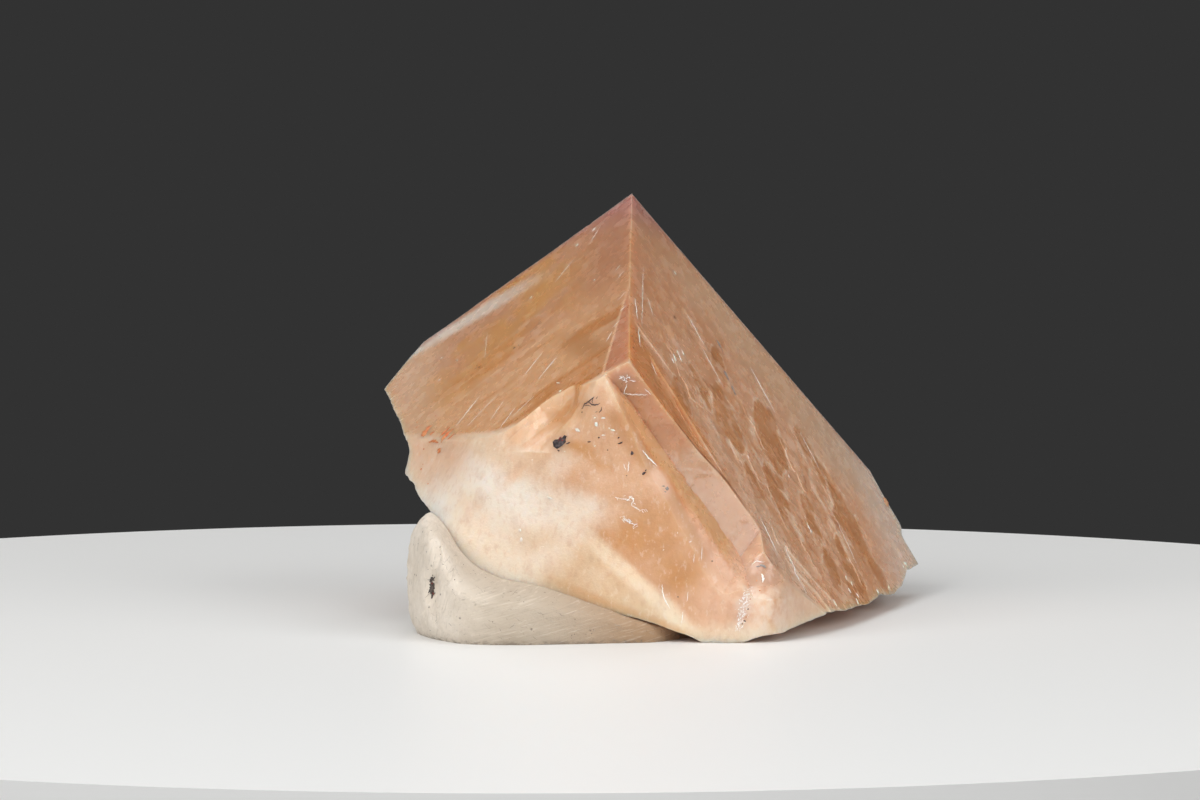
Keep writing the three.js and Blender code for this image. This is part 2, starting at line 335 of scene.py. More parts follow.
def feathered_sheet():
    """Feathery ledges that cross the right face at a slant, as shingles do."""
    q = np.arange(-3, 66, 0.3)
    ledges = []
    rng = np.random.default_rng(12)
    place = -40.0
    for k in range(14):
        place += rng.uniform(5.0, 9.5)
        teeth = np.abs(noise2(q / 2.4, 0.5 * k, 81)) * 4.0 + np.abs(noise2(q / 0.9, k, 99)) * 0.9
        line = place + 0.68 * q + 4.0 * noise2(q / 7, k, 83) + teeth
        swell = np.clip(0.25 + 2.4 * noise2(q / 3.4, k + 0.5, 85), 0.0, 1.4)
        inner = step(line, 9, 17) * step(q, 4, 10) * (1 - 0.6 * step(line, 40, 46))
        ledges.append((line, rng.uniform(0.03, 0.09) * swell * inner, rng.uniform(5.0, 9.0)))
    return ledge_sheet("feathers", q, ledges, 0.68, -60, 75, 87)


# Ledges that run along the right face. Each: place along r, its drift along q, depth, run-out along r,
# first and last q, wander, seed.
LEDGES = [
    (29.6, 0.30, 0.22, 5.0, 2.0, 7.0, 0.1, 8),
    (31.4, 0.62, 0.30, 6.0, 4.5, 15.0, 0.25, 14),
    (38.0, 0.10, 0.30, 5.5, 26, 43, 0.8, 11),
    (42.0, 0.12, 0.45, 6.0, 27, 40, 0.6, 13),
]


def ledged_sheet():
    q = np.arange(-3, 66, 0.3)
    ledges = []
    for r0, drift, depth, run_out, q0, q1, wander, seed in LEDGES:
        teeth = np.abs(noise2(q / 3.7, 0.5 * seed, 81 + seed)) * 1.6
        teeth = teeth + np.abs(noise2(q / 1.3, seed, 99 + seed)) * 0.3
        line = r0 + drift * np.minimum(q, 16) + wander * (1.3 * noise2(q / 9, seed, 83) + teeth - 0.5)
        swell = np.clip(0.85 + 1.0 * noise2(q / 5.5, seed + 0.5, 85), 0.3, 1.5)
        ends = step(q, q0 - 1.2, q0 + 1.2) * (1 - step(q, q1 - 4, q1 + 2))
        ledges.append((line, depth * swell * ends, run_out))
    return ledge_sheet("ledges", q, ledges, 0.0, -3, 70, 89)


# ------------------------------------------------------------------ crystal

# The step beside the front edge: how far forward its face lies at p = 0 and at p = 3, along q.
STEP_Q = [-4, 0, 2, 4, 6, 8, 11, 14.4, 16.5, 19, 20.7, 22, 22.4, 23.7, 26, 28, 31, 34]
STEP_EDGE = [39.4, 40.0, 40.6, 41.15, 41.6, 41.95, 42.05, 42.05, 42.4, 43.2, 43.6, 44.4, 48.2, 48.8, 48.8,
             47.6, 46.6, 50]
STEP_FOOT = [38.9, 39.7, 40.0, 40.4, 41.3, 42.1, 43.4, 44.6, 45.2, 45.9, 46.6, 47.6, 48.3, 52, 58, 58, 58, 58]


def notch_block():
    """The stepped notch beside the front edge: its step faces the front, its riser leans to the right."""
    p = np.concatenate([np.arange(-4, 1.6, 0.3), np.arange(1.6, 4.6, 0.1), np.arange(4.6, 9.0, 0.6)])
    p, q = np.meshgrid(p, np.arange(-4, 34, 0.22), indexing="ij")
    riser_foot = 3.05 - 0.11 * np.clip(q, 0, 3.2)
    edge, foot = np.interp(q, STEP_Q, STEP_EDGE), np.interp(q, STEP_Q, STEP_FOOT)
    level = edge + (foot - edge) * np.clip(p, -1, 3) / 3
    ribs = 0.10 * np.abs(noise2(p / 2.2 + 0.25 * q, q / 0.8 + 0.6 * p, 31))
    ribs = ribs * step(q, 14, 17) * step(q, 22.5, 21.5)
    level = level + ribs + 0.05 * fractal(p / 1.5, q / 3, 33, 2)
    beyond = np.maximum(p - riser_foot - 0.12 * noise2(q / 1.7, 0.5, 37), 0)
    riser = 2.1 * (1 - np.exp(-beyond / 0.3)) + 1.15 * beyond + 6 * np.maximum(beyond - 3.2, 0)
    top = np.where(p < -0.5, level, level + riser)
    return sheet_block("notch", p, q, -np.minimum(top, 80), -82, lambda u, v, w: from_cube(u, v, -w))


def bevel_block():
    """A slight bevel that widens down the front edge."""
    corners = [(0, 23.3), (3.2, 39.9), (3.4, 44), (-4, 44), (-4, 10)]
    p, r = np.array(corners).T
    depth = 0.36 * ((r - 23.3) / 17.3 - p / 3.2 * 0.96)
    return prism("bevel", corners, -3, np.maximum(depth, -0.5), lambda u, v, w: from_cube(u, w, v))


def chips(name, spots, seed):
    """Small shell-like bites: rounded lumps, none touching another, as one cutter."""
    bm = bmesh.new()
    rng = np.random.default_rng(seed)
    for centre, radius in spots:
        turn = Matrix.Rotation(rng.uniform(0, 6.28), 4, Vector(rng.normal(size=3)).normalized())
        squash = Matrix.Diagonal((*(rng.uniform(0.7, 1.3, 3) * radius), 1))
        place = Matrix.Translation(Vector(centre))
        bmesh.ops.create_icosphere(bm, subdivisions=2, radius=1, matrix=place @ turn @ squash)
    mesh = bpy.data.meshes.new(name)
    bmesh.ops.scale(bm, vec=(MM, MM, MM), verts=bm.verts)
    bm.to_mesh(mesh)
    bm.free()
    return mesh


def edge_chips():
    rng = np.random.default_rng(4)
    spots = []
    for k in range(9):  # down the front edge
        r = 4 + k * 4.1 + rng.uniform(-1, 1)
        spots.append((from_cube(-0.12, -0.12, r), rng.uniform(0.18, 0.32)))
    for k in range(10):  # along the left edge
        p = 3 + k * 2.6 + rng.uniform(-0.8, 0.8)
        spots.append((from_cube(p, -0.15, -0.15), rng.uniform(0.2, 0.36)))
    for k in range(13):  # along the right edge
        q = 3 + k * 3.1 + rng.uniform(-1, 1)
        spots.append((from_cube(-0.15, q, -0.15), rng.uniform(0.2, 0.38)))
    return chips("edge_chips", spots, 5)


BEVEL_OUT = np.array([0, -1.0, 0]) - 1.15 * right_edge
BEVEL_OUT /= np.linalg.norm(BEVEL_OUT)


def edge_bevel():
    """A broken-off strip between the left face and the broken front, widest at its middle."""
    start, stop = from_cube(3.2, 0.0, 40.0), from_cube(16.8, 0.0, 36.7)
    length = np.linalg.norm(stop - start)
    along = (stop - start) / length
    out = BEVEL_OUT - along * (BEVEL_OUT @ along)
    out /= np.linalg.norm(out)
    across = np.cross(along, out)
    u, v = grid((-2, length + 2), (-5, 5), 0.25)
    t = u / length
    beyond_ends = step(t, 0.03, -0.12) + step(t, 0.97, 1.12)
    depth = 0.85 * step(t, 0.03, 0.36) * step(t, 0.92, 0.5) - 0.9 * beyond_ends
    ripple = 0.22 * scallops(u / 3.2, v / 2.6, 35) + 0.09 * fractal(u / 1.3, v / 0.9, 39, 2)
    place = lambda u, v, w: start + u[..., None] * along + v[..., None] * across - w[..., None] * out
    return sheet_block("edge_bevel", u, v, depth - ripple * step(depth, 0, 0.6), -9, place)


def crystal_mesh():
    x, z = grid((-33, 35), (-4, 52), 0.36)
    front = sheet_block("front", x, z, -fine_front_depth(x, z), -60, lambda u, v, w: np.stack([u, -w, v], -1))
    x, y = grid((-33, 35), (-40, 40), 0.5)
    under = sheet_block("under", x, y, -underside_height(x, y), DEEP, lambda u, v,
                        w: np.stack([u, v, -w], -1))
    q, r = grid((-3, 56), (-3, 60), 0.42)
    left = sheet_block("left_end", q, r, left_end_reach(q, r), -20, lambda u, v, w: from_cube(w, u, v))
    r, p = grid((-3, 62), (-3, 48), 0.45)
    right = sheet_block("right_end", r, p, right_end_reach(r, p), -20, lambda u, v, w: from_cube(v, w, u))
    return carve(left_face_sheet(), [
        ("INTERSECT", feathered_sheet()),
        ("INTERSECT", ledged_sheet()),
        ("INTERSECT", back_face_sheet()),
        ("DIFFERENCE", bevel_block()),
        ("INTERSECT", front),
        ("INTERSECT", under),
        ("INTERSECT", left),
        ("INTERSECT", right),
        ("DIFFERENCE", notch_block()),
        ("DIFFERENCE", edge_bevel()),
        ("DIFFERENCE", edge_chips()),
    ])


# ------------------------------------------------------------------ putty

# The putty's sections from left to right, measured from the corner's X: where the crystal's front meets it
# (height), and how far forward and back it reaches (Y from the corner).
PUTTY_STATIONS = [-23.5, -22.1, -20.5, -19.0, -17.0, -13.4, -10.0, -6.5, -1.7, 2.5, 6.8, 7.8]
PUTTY_CONTACT = [11.6, 12.1, 12.2, 10.1, 7.2, 5.75, 5.4, 4.6, 3.0, 1.9, 0.9, 0.7]
PUTTY_FRONT = [-31.5, -36.0, -39.0, -41.0, -42.4, -42.9, -42.6, -41.9, -40.9, -39.6, -36.0, -33.5]
PUTTY_BACK = [-22.0, -18.0, -15.5, -13.8, -12.4, -11.3, -11.0, -11.2, -12.0, -14.5, -20.0, -24.0]


def eased(x, values, reach=1.3):
    """The stations' values at x, with their corners rounded off."""
    around = [np.interp(x + k * reach / 4, PUTTY_STATIONS, values) for k in range(-4, 5)]
    return np.mean(around, axis=0)


def putty_loft():
    n_round = 190
    left, right = PUTTY_STATIONS[0], PUTTY_STATIONS[-1]
    theta = np.linspace(0, math.pi, 151)[1:-1]
    angle = np.linspace(0, 2 * math.pi, n_round, endpoint=False)
    theta, angle = np.meshgrid(theta, angle, indexing="ij")
    along = -np.sign(np.cos(theta)) * (1 - (1 - np.abs(np.cos(theta))) ** 1.15)
    dx = (left + right) / 2 + (right - left) / 2 * along
    cap = np.clip(1 - (1 - np.clip((dx - left) / 2.4, 0, 1)) ** 2, 0, 1) ** 0.36
    cap = cap * np.sqrt(np.clip(1 - (1 - np.clip((right - dx) / 6.0, 0, 1)) ** 2, 0, 1))
    contact = eased(dx, PUTTY_CONTACT)
    front, back = eased(dx, PUTTY_FRONT), eased(dx, PUTTY_BACK)
    middle_y, half = (front + back) / 2, (back - front) / 2
    middle_z = 0.42 * contact + 0.3
    power = lambda value: np.sign(value) * np.abs(value) ** 0.62
    at_crystal = np.clip((middle_y - (front_depth(APEX[0] + dx, contact) - APEX[1])) / half, 0, 0.9)
    rise = (contact - middle_z) / (1 - at_crystal ** (2 / 0.62)) ** 0.31
    drop = middle_z + 0.3 + 2.2 * step(dx, -23.5, -16)
    up = power(np.sin(angle)) * cap
    x = APEX[0] + dx
    y = APEX[1] + middle_y - half * power(np.cos(angle)) * cap
    z = middle_z + np.where(up > 0, rise, drop) * up
    return x, y, z, n_round


def putty_block():
    x, y, z, n_round = putty_loft()
    points = np.stack([x, y, z], -1)
    centre = np.array([x.mean(), y.mean(), 3.0])
    away = points - centre
    away /= np.linalg.norm(away, axis=-1, keepdims=True)
    dents = 0.34 * fractal(x / 7 + 3, z / 5 + y / 8, 91, 3)
    dents = dents + 0.10 * fractal(x / 1.3, y / 1.3 + z / 1.1, 93, 2)
    dents = dents + 0.12 * fractal(x / 2.8 + z / 3.4, y / 3.1 - z / 2.6, 95, 2)
    # A fold down the left lobe, with a torn pit in it, and a short crease beside it.
    dx = x - APEX[0]
    fold_at = -20.4 + 0.35 * np.sin(0.9 * z) + 0.04 * (z - 6)
    facing = step(y - APEX[1], -30, -34)
    fold = 0.45 * bump(dx - fold_at, 0, 0.30) * step(z, 1.2, 2.4) * step(z, 10.6, 9.0)
    pit = 1.0 * bump((dx + 20.45) / 0.5, (z - 5.3) / 1.2, 1.0)
    crease = 0.22 * bump(dx + 15.3 - 0.45 * (z - 4.5), 0, 0.25) * step(z, 2.8, 3.6) * step(z, 6.0, 5.0)
    points = points + away * (dents - 0.14 - facing * (fold + pit + crease))[..., None]
    n = points.shape[0]
    index = np.arange(n * n_round).reshape(n, n_round)
    ahead = np.roll(index, -1, 1)
    quads = np.stack([index[:-1], index[1:], ahead[1:], ahead[:-1]], -1).reshape(-1, 4)
    flat = points.reshape(-1, 3)
    tips = np.array([[x.min() - 0.02, y[0].mean(), z[0].mean()],
                     [x.max() + 0.02, y[-1].mean(), z[-1].mean()]])
    faces = quads.tolist()
    first, last = n * n_round, n * n_round + 1
    for k in range(n_round):
        j = (k + 1) % n_round
        faces.append([first, int(index[0, k]), int(index[0, j])])
        faces.append([last, int(index[-1, j]), int(index[-1, k])])
    return outward(mesh_of("putty_loft", np.vstack([flat, tips]), faces))


def putty_mesh(crystal):
    above = prism("above", [(-60, -60), (60, -60), (60, 60), (-60, 60)], 0, 40,
                  lambda u, v, w: np.stack([u, v, w], -1))
    steps = [("INTERSECT", above)]
    for shift in ((0, 0, -0.05), (-0.04, -0.04, -0.02)):
        moved = crystal.copy()
        moved.transform(Matrix.Translation(Vector(shift) * MM))
        steps.append(("DIFFERENCE", moved))
    return carve(putty_block(), steps)


# ------------------------------------------------------------------ marks on the surfaces

class Skin:
    """Finds points on a mesh, in millimetres, seen from the front or square to a cube face."""

    def __init__(self, mesh):
        points = [vert.co / MM for vert in mesh.vertices]
        self.tree = BVHTree.FromPolygons(points, [tuple(face.vertices) for face in mesh.polygons])

    def cast(self, start, direction):
        place, normal, _, _ = self.tree.ray_cast(Vector(start), Vector(direction))
        return place, normal

    def ahead(self, x, z):
        return self.cast((x, IN_FRONT, z), (0, 1, 0))

    def left(self, p, r):
        return self.cast(from_cube(p, OFF_A_FACE, r), right_edge)

    def right(self, q, r):
        return self.cast(from_cube(OFF_A_FACE, q, r), left_edge)


class Marks:
    """Collects small solids, half sunk in a surface, into one mesh."""

    def __init__(self, seed):
        self.bm = bmesh.new()
        self.rng = np.random.default_rng(seed)

    def thread(self, spots, width, height=0.5, taper=0.7):
        """A splinter or scratch through spots, each a (place, normal) pair."""
        spots = [spot for spot in spots if spot[0] is not None]
        if len(spots) < 2:
            return
        places, normals = [spot[0] for spot in spots], [spot[1] for spot in spots]
        rings = []
        for k, (place, normal) in enumerate(zip(places, normals)):
            along = (places[min(k + 1, len(places) - 1)] - places[max(k - 1, 0)]).normalized()
            side = along.cross(normal).normalized()
            t = abs(2 * k / (len(places) - 1) - 1)
            half = 0.5 * width * (1 - taper * t * t) * self.rng.uniform(0.75, 1.25)
            ring = []
            for j in range(6):
                angle = math.pi * j / 3
                offset = side * (math.cos(angle) * half) + normal * (math.sin(angle) * half * height)
                ring.append(self.bm.verts.new(place + offset))
            rings.append(ring)
        for low, high in zip(rings, rings[1:]):
            for j in range(6):
                self.bm.faces.new((low[j], low[(j + 1) % 6], high[(j + 1) % 6], high[j]))
        self.bm.faces.new(rings[0][::-1])
        self.bm.faces.new(rings[-1])

    def fleck(self, spot, length, width, height, turn=0.0, rough=0.2):
        """A flat irregular lump; turn is its angle from level."""
        place, normal = spot
        if place is None:
            return
        level = Vector((0, 0, 1)).cross(normal)
        level = (level if level.length > 0.1 else Vector((1, 0, 0))).normalized()
        rise = normal.cross(level)
        u = level * math.cos(turn) + rise * math.sin(turn)
        v = normal.cross(u)
        axes = Matrix((u, v, normal)).transposed().to_4x4()
        size = Matrix.Diagonal((length / 2, width / 2, height / 2, 1))
        made = bmesh.ops.create_icosphere(self.bm, subdivisions=2, radius=1, matrix=size)
        shift = self.rng.uniform(0, 90)
        for vert in made["verts"]:
            x, y, z = vert.co
            swell = 1 + rough * 2 * float(noise2(2.4 * x / length + shift, 2.4 * y / width + 9 * z, 11))
            vert.co = Matrix.Translation(place) @ axes @ (vert.co * swell)

    def plate(self, spots, lift, sunk, dome=0.0):
        """A flake with a given outline."""
        spots = [spot for spot in spots if spot[0] is not None]
        normal = sum((spot[1] for spot in spots), Vector()).normalized()
        top = [self.bm.verts.new(place + normal * (lift * self.rng.uniform(0.6, 1.3))) for place, _ in spots]
        low = [self.bm.verts.new(place - normal * sunk) for place, _ in spots]
        middle = sum((vert.co for vert in top), Vector()) / len(top)
        crown = self.bm.verts.new(middle + normal * dome)
        for k in range(len(top)):
            j = (k + 1) % len(top)
            self.bm.faces.new((top[k], top[j], crown))
            self.bm.faces.new((top[j], top[k], low[k], low[j]))
        self.bm.faces.new(low[::-1])

    def trace(self, find, points, gap, wobble, width, height, taper=0.7):
        """A thread along a wobbly line. A width given as a pair is drawn at random between the two."""
        line = between(points, gap, wobble, self.rng)
        width = self.rng.uniform(*width) if isinstance(width, tuple) else width
        self.thread([find(a, b) for a, b in line], width, height, taper)

    def flecks(self, find, height, rough, rows, longer=1.0, wider=1.0):
        """Flecks from rows of place, length, width and turn."""
        for a, b, length, width, turn in rows:
            self.fleck(find(a, b), longer * length, wider * width, height, turn, rough)

    def specks(self, find, narrow, height, turn, rows):
        """Flecks from rows of place and length, all turned the same way."""
        for a, b, length in rows:
            self.fleck(find(a, b), length, length * narrow, height, turn, 0.3)

    def mesh(self, name):
        bmesh.ops.recalc_face_normals(self.bm, faces=self.bm.faces)
        bmesh.ops.scale(self.bm, vec=(MM, MM, MM), verts=self.bm.verts)
        mesh = bpy.data.meshes.new(name)
        self.bm.to_mesh(mesh)
        self.bm.free()
        return mesh


def between(points, step_length, wobble=0.0, rng=None):
    """Points along a line through the given ones, with a little wobble."""
    points = np.array(points, float)
    lengths = np.concatenate([[0], np.cumsum(np.linalg.norm(np.diff(points, axis=0), axis=1))])
    count = max(int(lengths[-1] / step_length), 2) + 1
    at = np.linspace(0, lengths[-1], count)
    line = np.stack([np.interp(at, lengths, points[:, k]) for k in (0, 1)], -1)
    if rng is not None:
        line[1:-1] += rng.normal(0, wobble, line[1:-1].shape)
    return line


def ray(x, z, turn, reach):
    """The two ends of a short line that starts at x, z."""
    return [(x, z), (x + reach * math.cos(turn), z + reach * math.sin(turn))]


def dark_flake(marks, skin):
    outline = [
        (-10.56, 19.78), (-10.30, 20.02), (-9.98, 20.06), (-9.80, 20.32), (-9.62, 20.12), (-9.36, 20.52),
        (-9.16, 20.44), (-9.30, 20.05), (-9.22, 19.86), (-9.62, 19.44), (-10.14, 19.12), (-10.46, 19.30),
    ]
    marks.plate([skin.ahead(x, z) for x, z in outline], 0.07, 0.3, 0.06)
    marks.fleck(skin.ahead(-9.0, 19.75), 0.5, 0.12, 0.12, 0.4)
    marks.fleck(skin.ahead(-10.0, 18.95), 0.3, 0.12, 0.12, -0.3)


def red_flake(marks, skin):
    marks.fleck(skin.ahead(-9.80, 20.12), 0.42, 0.22, 0.34, 1.1, 0.3)
    marks.fleck(skin.ahead(-9.55, 19.98), 0.34, 0.22, 0.34, 0.3, 0.3)
    marks.fleck(skin.ahead(-9.92, 19.92), 0.26, 0.22, 0.34, 0.1, 0.3)


def dark_needles(marks, skin):
    lines = [
        ([(-7.65, 23.25), (-7.30, 23.70), (-6.95, 24.00), (-6.65, 24.25), (-6.38, 24.52)], 0.14),
        ([(-7.00, 23.98), (-6.62, 23.70), (-6.20, 23.68), (-5.78, 23.88)], 0.13),
        ([(-6.39, 24.46), (-6.58, 24.10), (-6.50, 23.78)], 0.08),
        ([(-7.45, 23.55), (-7.05, 23.62), (-6.70, 23.52)], 0.07),
        ([(-5.90, 22.90), (-5.68, 23.20), (-5.60, 23.52)], 0.08),
        ([(-6.30, 22.95), (-6.00, 23.02)], 0.06), ([(-6.20, 24.30), (-6.02, 24.55)], 0.07),
    ]
    for points, width in lines:
        marks.trace(skin.ahead, points, 0.12, 0.022, width, 0.9)
    for k in range(7):  # a row of nicks in the left face
        t = k / 7 + marks.rng.uniform(0, 0.05)
        p, r = 13.6 - 1.5 * t, 17.3 - t
        nick = [skin.left(p, r), skin.left(p - 0.07, r - 0.06), skin.left(p - 0.15, r - 0.10)]
        marks.thread(nick, 0.07, 0.8)
    for q, r, length in ((15.3, 12.0, 0.5), (15.9, 12.5, 0.7), (16.4, 17.3, 0.4), (16.8, 18.0, 0.5),
                         (18.0, 19.6, 0.6)):
        marks.thread([skin.right(q + 0.18 * t, r + length * t) for t in (0, 0.5, 1)], 0.10, 0.7)


def dark_grains(marks, skin):
    marks.flecks(skin.ahead, 0.12, 0.35, [
        (-6.90, 19.95, 0.42, 0.13, 0.1), (-3.72, 19.95, 0.55, 0.16, 0.35),
        (-3.90, 20.48, 0.24, 0.14, 0.8), (-2.56, 18.97, 0.30, 0.40, 0.3), (-5.90, 20.42, 0.25, 0.13, 0.0),
        (-1.36, 16.98, 0.45, 0.24, 0.7), (-1.18, 17.25, 0.22, 0.12, 1.0), (-5.0, 19.2, 0.14, 0.12, 0.2),
        (-3.1, 16.7, 0.12, 0.1, 0.0), (2.05, 4.6, 0.12, 0.12, 0), (5.5, 8.1, 0.16, 0.14, 0.0),
        (9.1, 3.4, 0.16, 0.14, 0.2), (8.75, 2.2, 0.22, 0.13, -0.5), (8.5, 1.9, 0.14, 0.12, 0.2),
        (-7.6, 22.9, 0.16, 0.1, 0.5),
    ])
    marks.specks(skin.left, 0.6, 0.1, 0.6, [
        (15.7, 18.3, 0.30), (15.1, 18.4, 0.16), (20.6, 16.9, 0.22), (21.0, 16.6, 0.14),
        (19.9, 27.8, 0.12),
    ])
    marks.specks(skin.right, 0.6, 0.1, 0.9, [
        (0.65, 33.9, 0.20), (1.0, 34.5, 0.18), (0.9, 36.1, 0.16), (8.4, 35.3, 0.2),
    ])


def grey_smudges(marks, skin):
    for x, z, length, width in [
        (0.96, 15.40, 0.42, 0.34), (0.62, 15.66, 0.30, 0.12), (10.60, 7.55, 0.62, 0.26),
        (10.15, 7.45, 0.40, 0.14), (0.80, 15.10, 0.26, 0.08), (10.9, 7.35, 0.2, 0.16),
    ]:
        marks.fleck(skin.ahead(x, z), length, width, 0.08, marks.rng.uniform(-0.4, 0.5), 0.4)
    for q, r, length in ((15.5, 12.3, 1.1), (16.6, 17.7, 1.2), (17.9, 19.3, 1.3)):
        marks.fleck(skin.right(q, r), length, 0.45, 0.05, 1.2, 0.4)


def pale_flecks(marks, skin):
    marks.flecks(skin.ahead, 0.05, 0.35, [
        (-8.10, 21.10, 0.85, 0.40, -0.3), (-6.18, 21.75, 0.62, 0.58, -0.7),
        (-5.45, 22.40, 0.62, 0.20, 0.05), (-4.47, 21.22, 0.75, 0.22, -0.15),
        (-5.45, 20.68, 0.62, 0.20, 0.1), (-6.30, 22.40, 0.3, 0.22, 0), (-4.85, 21.40, 0.22, 0.2, 0.0),
        (-10.9, 14.15, 0.95, 0.30, -0.35), (-13.95, 10.75, 0.45, 0.5, 0.2),
        (-13.80, 9.85, 0.5, 0.62, 0.4), (-6.30, 19.55, 0.3, 0.2, 0.6), (-9.35, 18.9, 0.25, 0.15, 0.3),
        (2.0, 11.0, 0.28, 0.1, 1.2), (0.6, 9.3, 0.3, 0.12, 0.6), (3.3, 10.1, 0.4, 0.15, 0.2),
        (-11.6, 9.2, 0.5, 0.12, 0.1), (-17.2, 13.9, 0.5, 0.16, 0.3), (-12.7, 17.9, 0.4, 0.1, 0.2),
    ], 0.72, 0.72)
    marks.flecks(skin.left, 0.07, 0.35, [
        (9.2, 34.3, 0.75, 0.14, 0.0), (8.9, 36.5, 0.35, 0.28, 0.2), (26.4, 7.7, 0.28, 0.24, 0),
        (13.8, 8.4, 0.3, 0.4, 0.3), (5.3, 2.3, 0.4, 0.6, 0.5), (7.6, 3.3, 0.3, 0.5, 0.5),
        (26.4, 12.9, 0.4, 0.16, 0.7), (24.0, 11.2, 0.3, 0.2, 0.3), (4.9, 15.4, 0.24, 0.3, 0.1),
    ])
    marks.flecks(skin.right, 0.10, 0.45, [
        (7.75, 7.3, 0.75, 0.55, 1.2), (7.5, 28.6, 1.1, 0.35, 0.8), (7.8, 27.7, 1.3, 0.4, 1.0),
        (8.3, 25.6, 1.0, 0.3, 1.1), (8.7, 26.3, 1.3, 0.35, 1.0), (9.1, 24.3, 0.9, 0.3, 1.2),
        (30.6, 31.2, 1.0, 0.35, 1.1), (31.0, 31.7, 0.7, 0.3, 0.6), (34.8, 41.7, 1.3, 0.5, 1.3),
        (37.6, 35.0, 0.8, 0.5, 1.3), (39.1, 34.0, 0.9, 0.3, 1.6), (39.0, 35.3, 1.0, 0.5, 0.9),
        (38.1, 32.9, 0.9, 0.22, 1.0), (37.1, 33.1, 0.8, 0.2, 0.8), (43.0, 27.8, 0.8, 0.6, 1.2),
        (45.3, 23.9, 0.5, 0.4, 1.0), (49.1, 13.4, 0.9, 0.9, 0.3), (48.6, 14.6, 0.5, 0.4, 0.8),
        (20.2, 31.0, 0.6, 0.16, 1.1), (27.5, 24.6, 0.6, 0.16, 1.2),
    ], 0.75, 0.7)


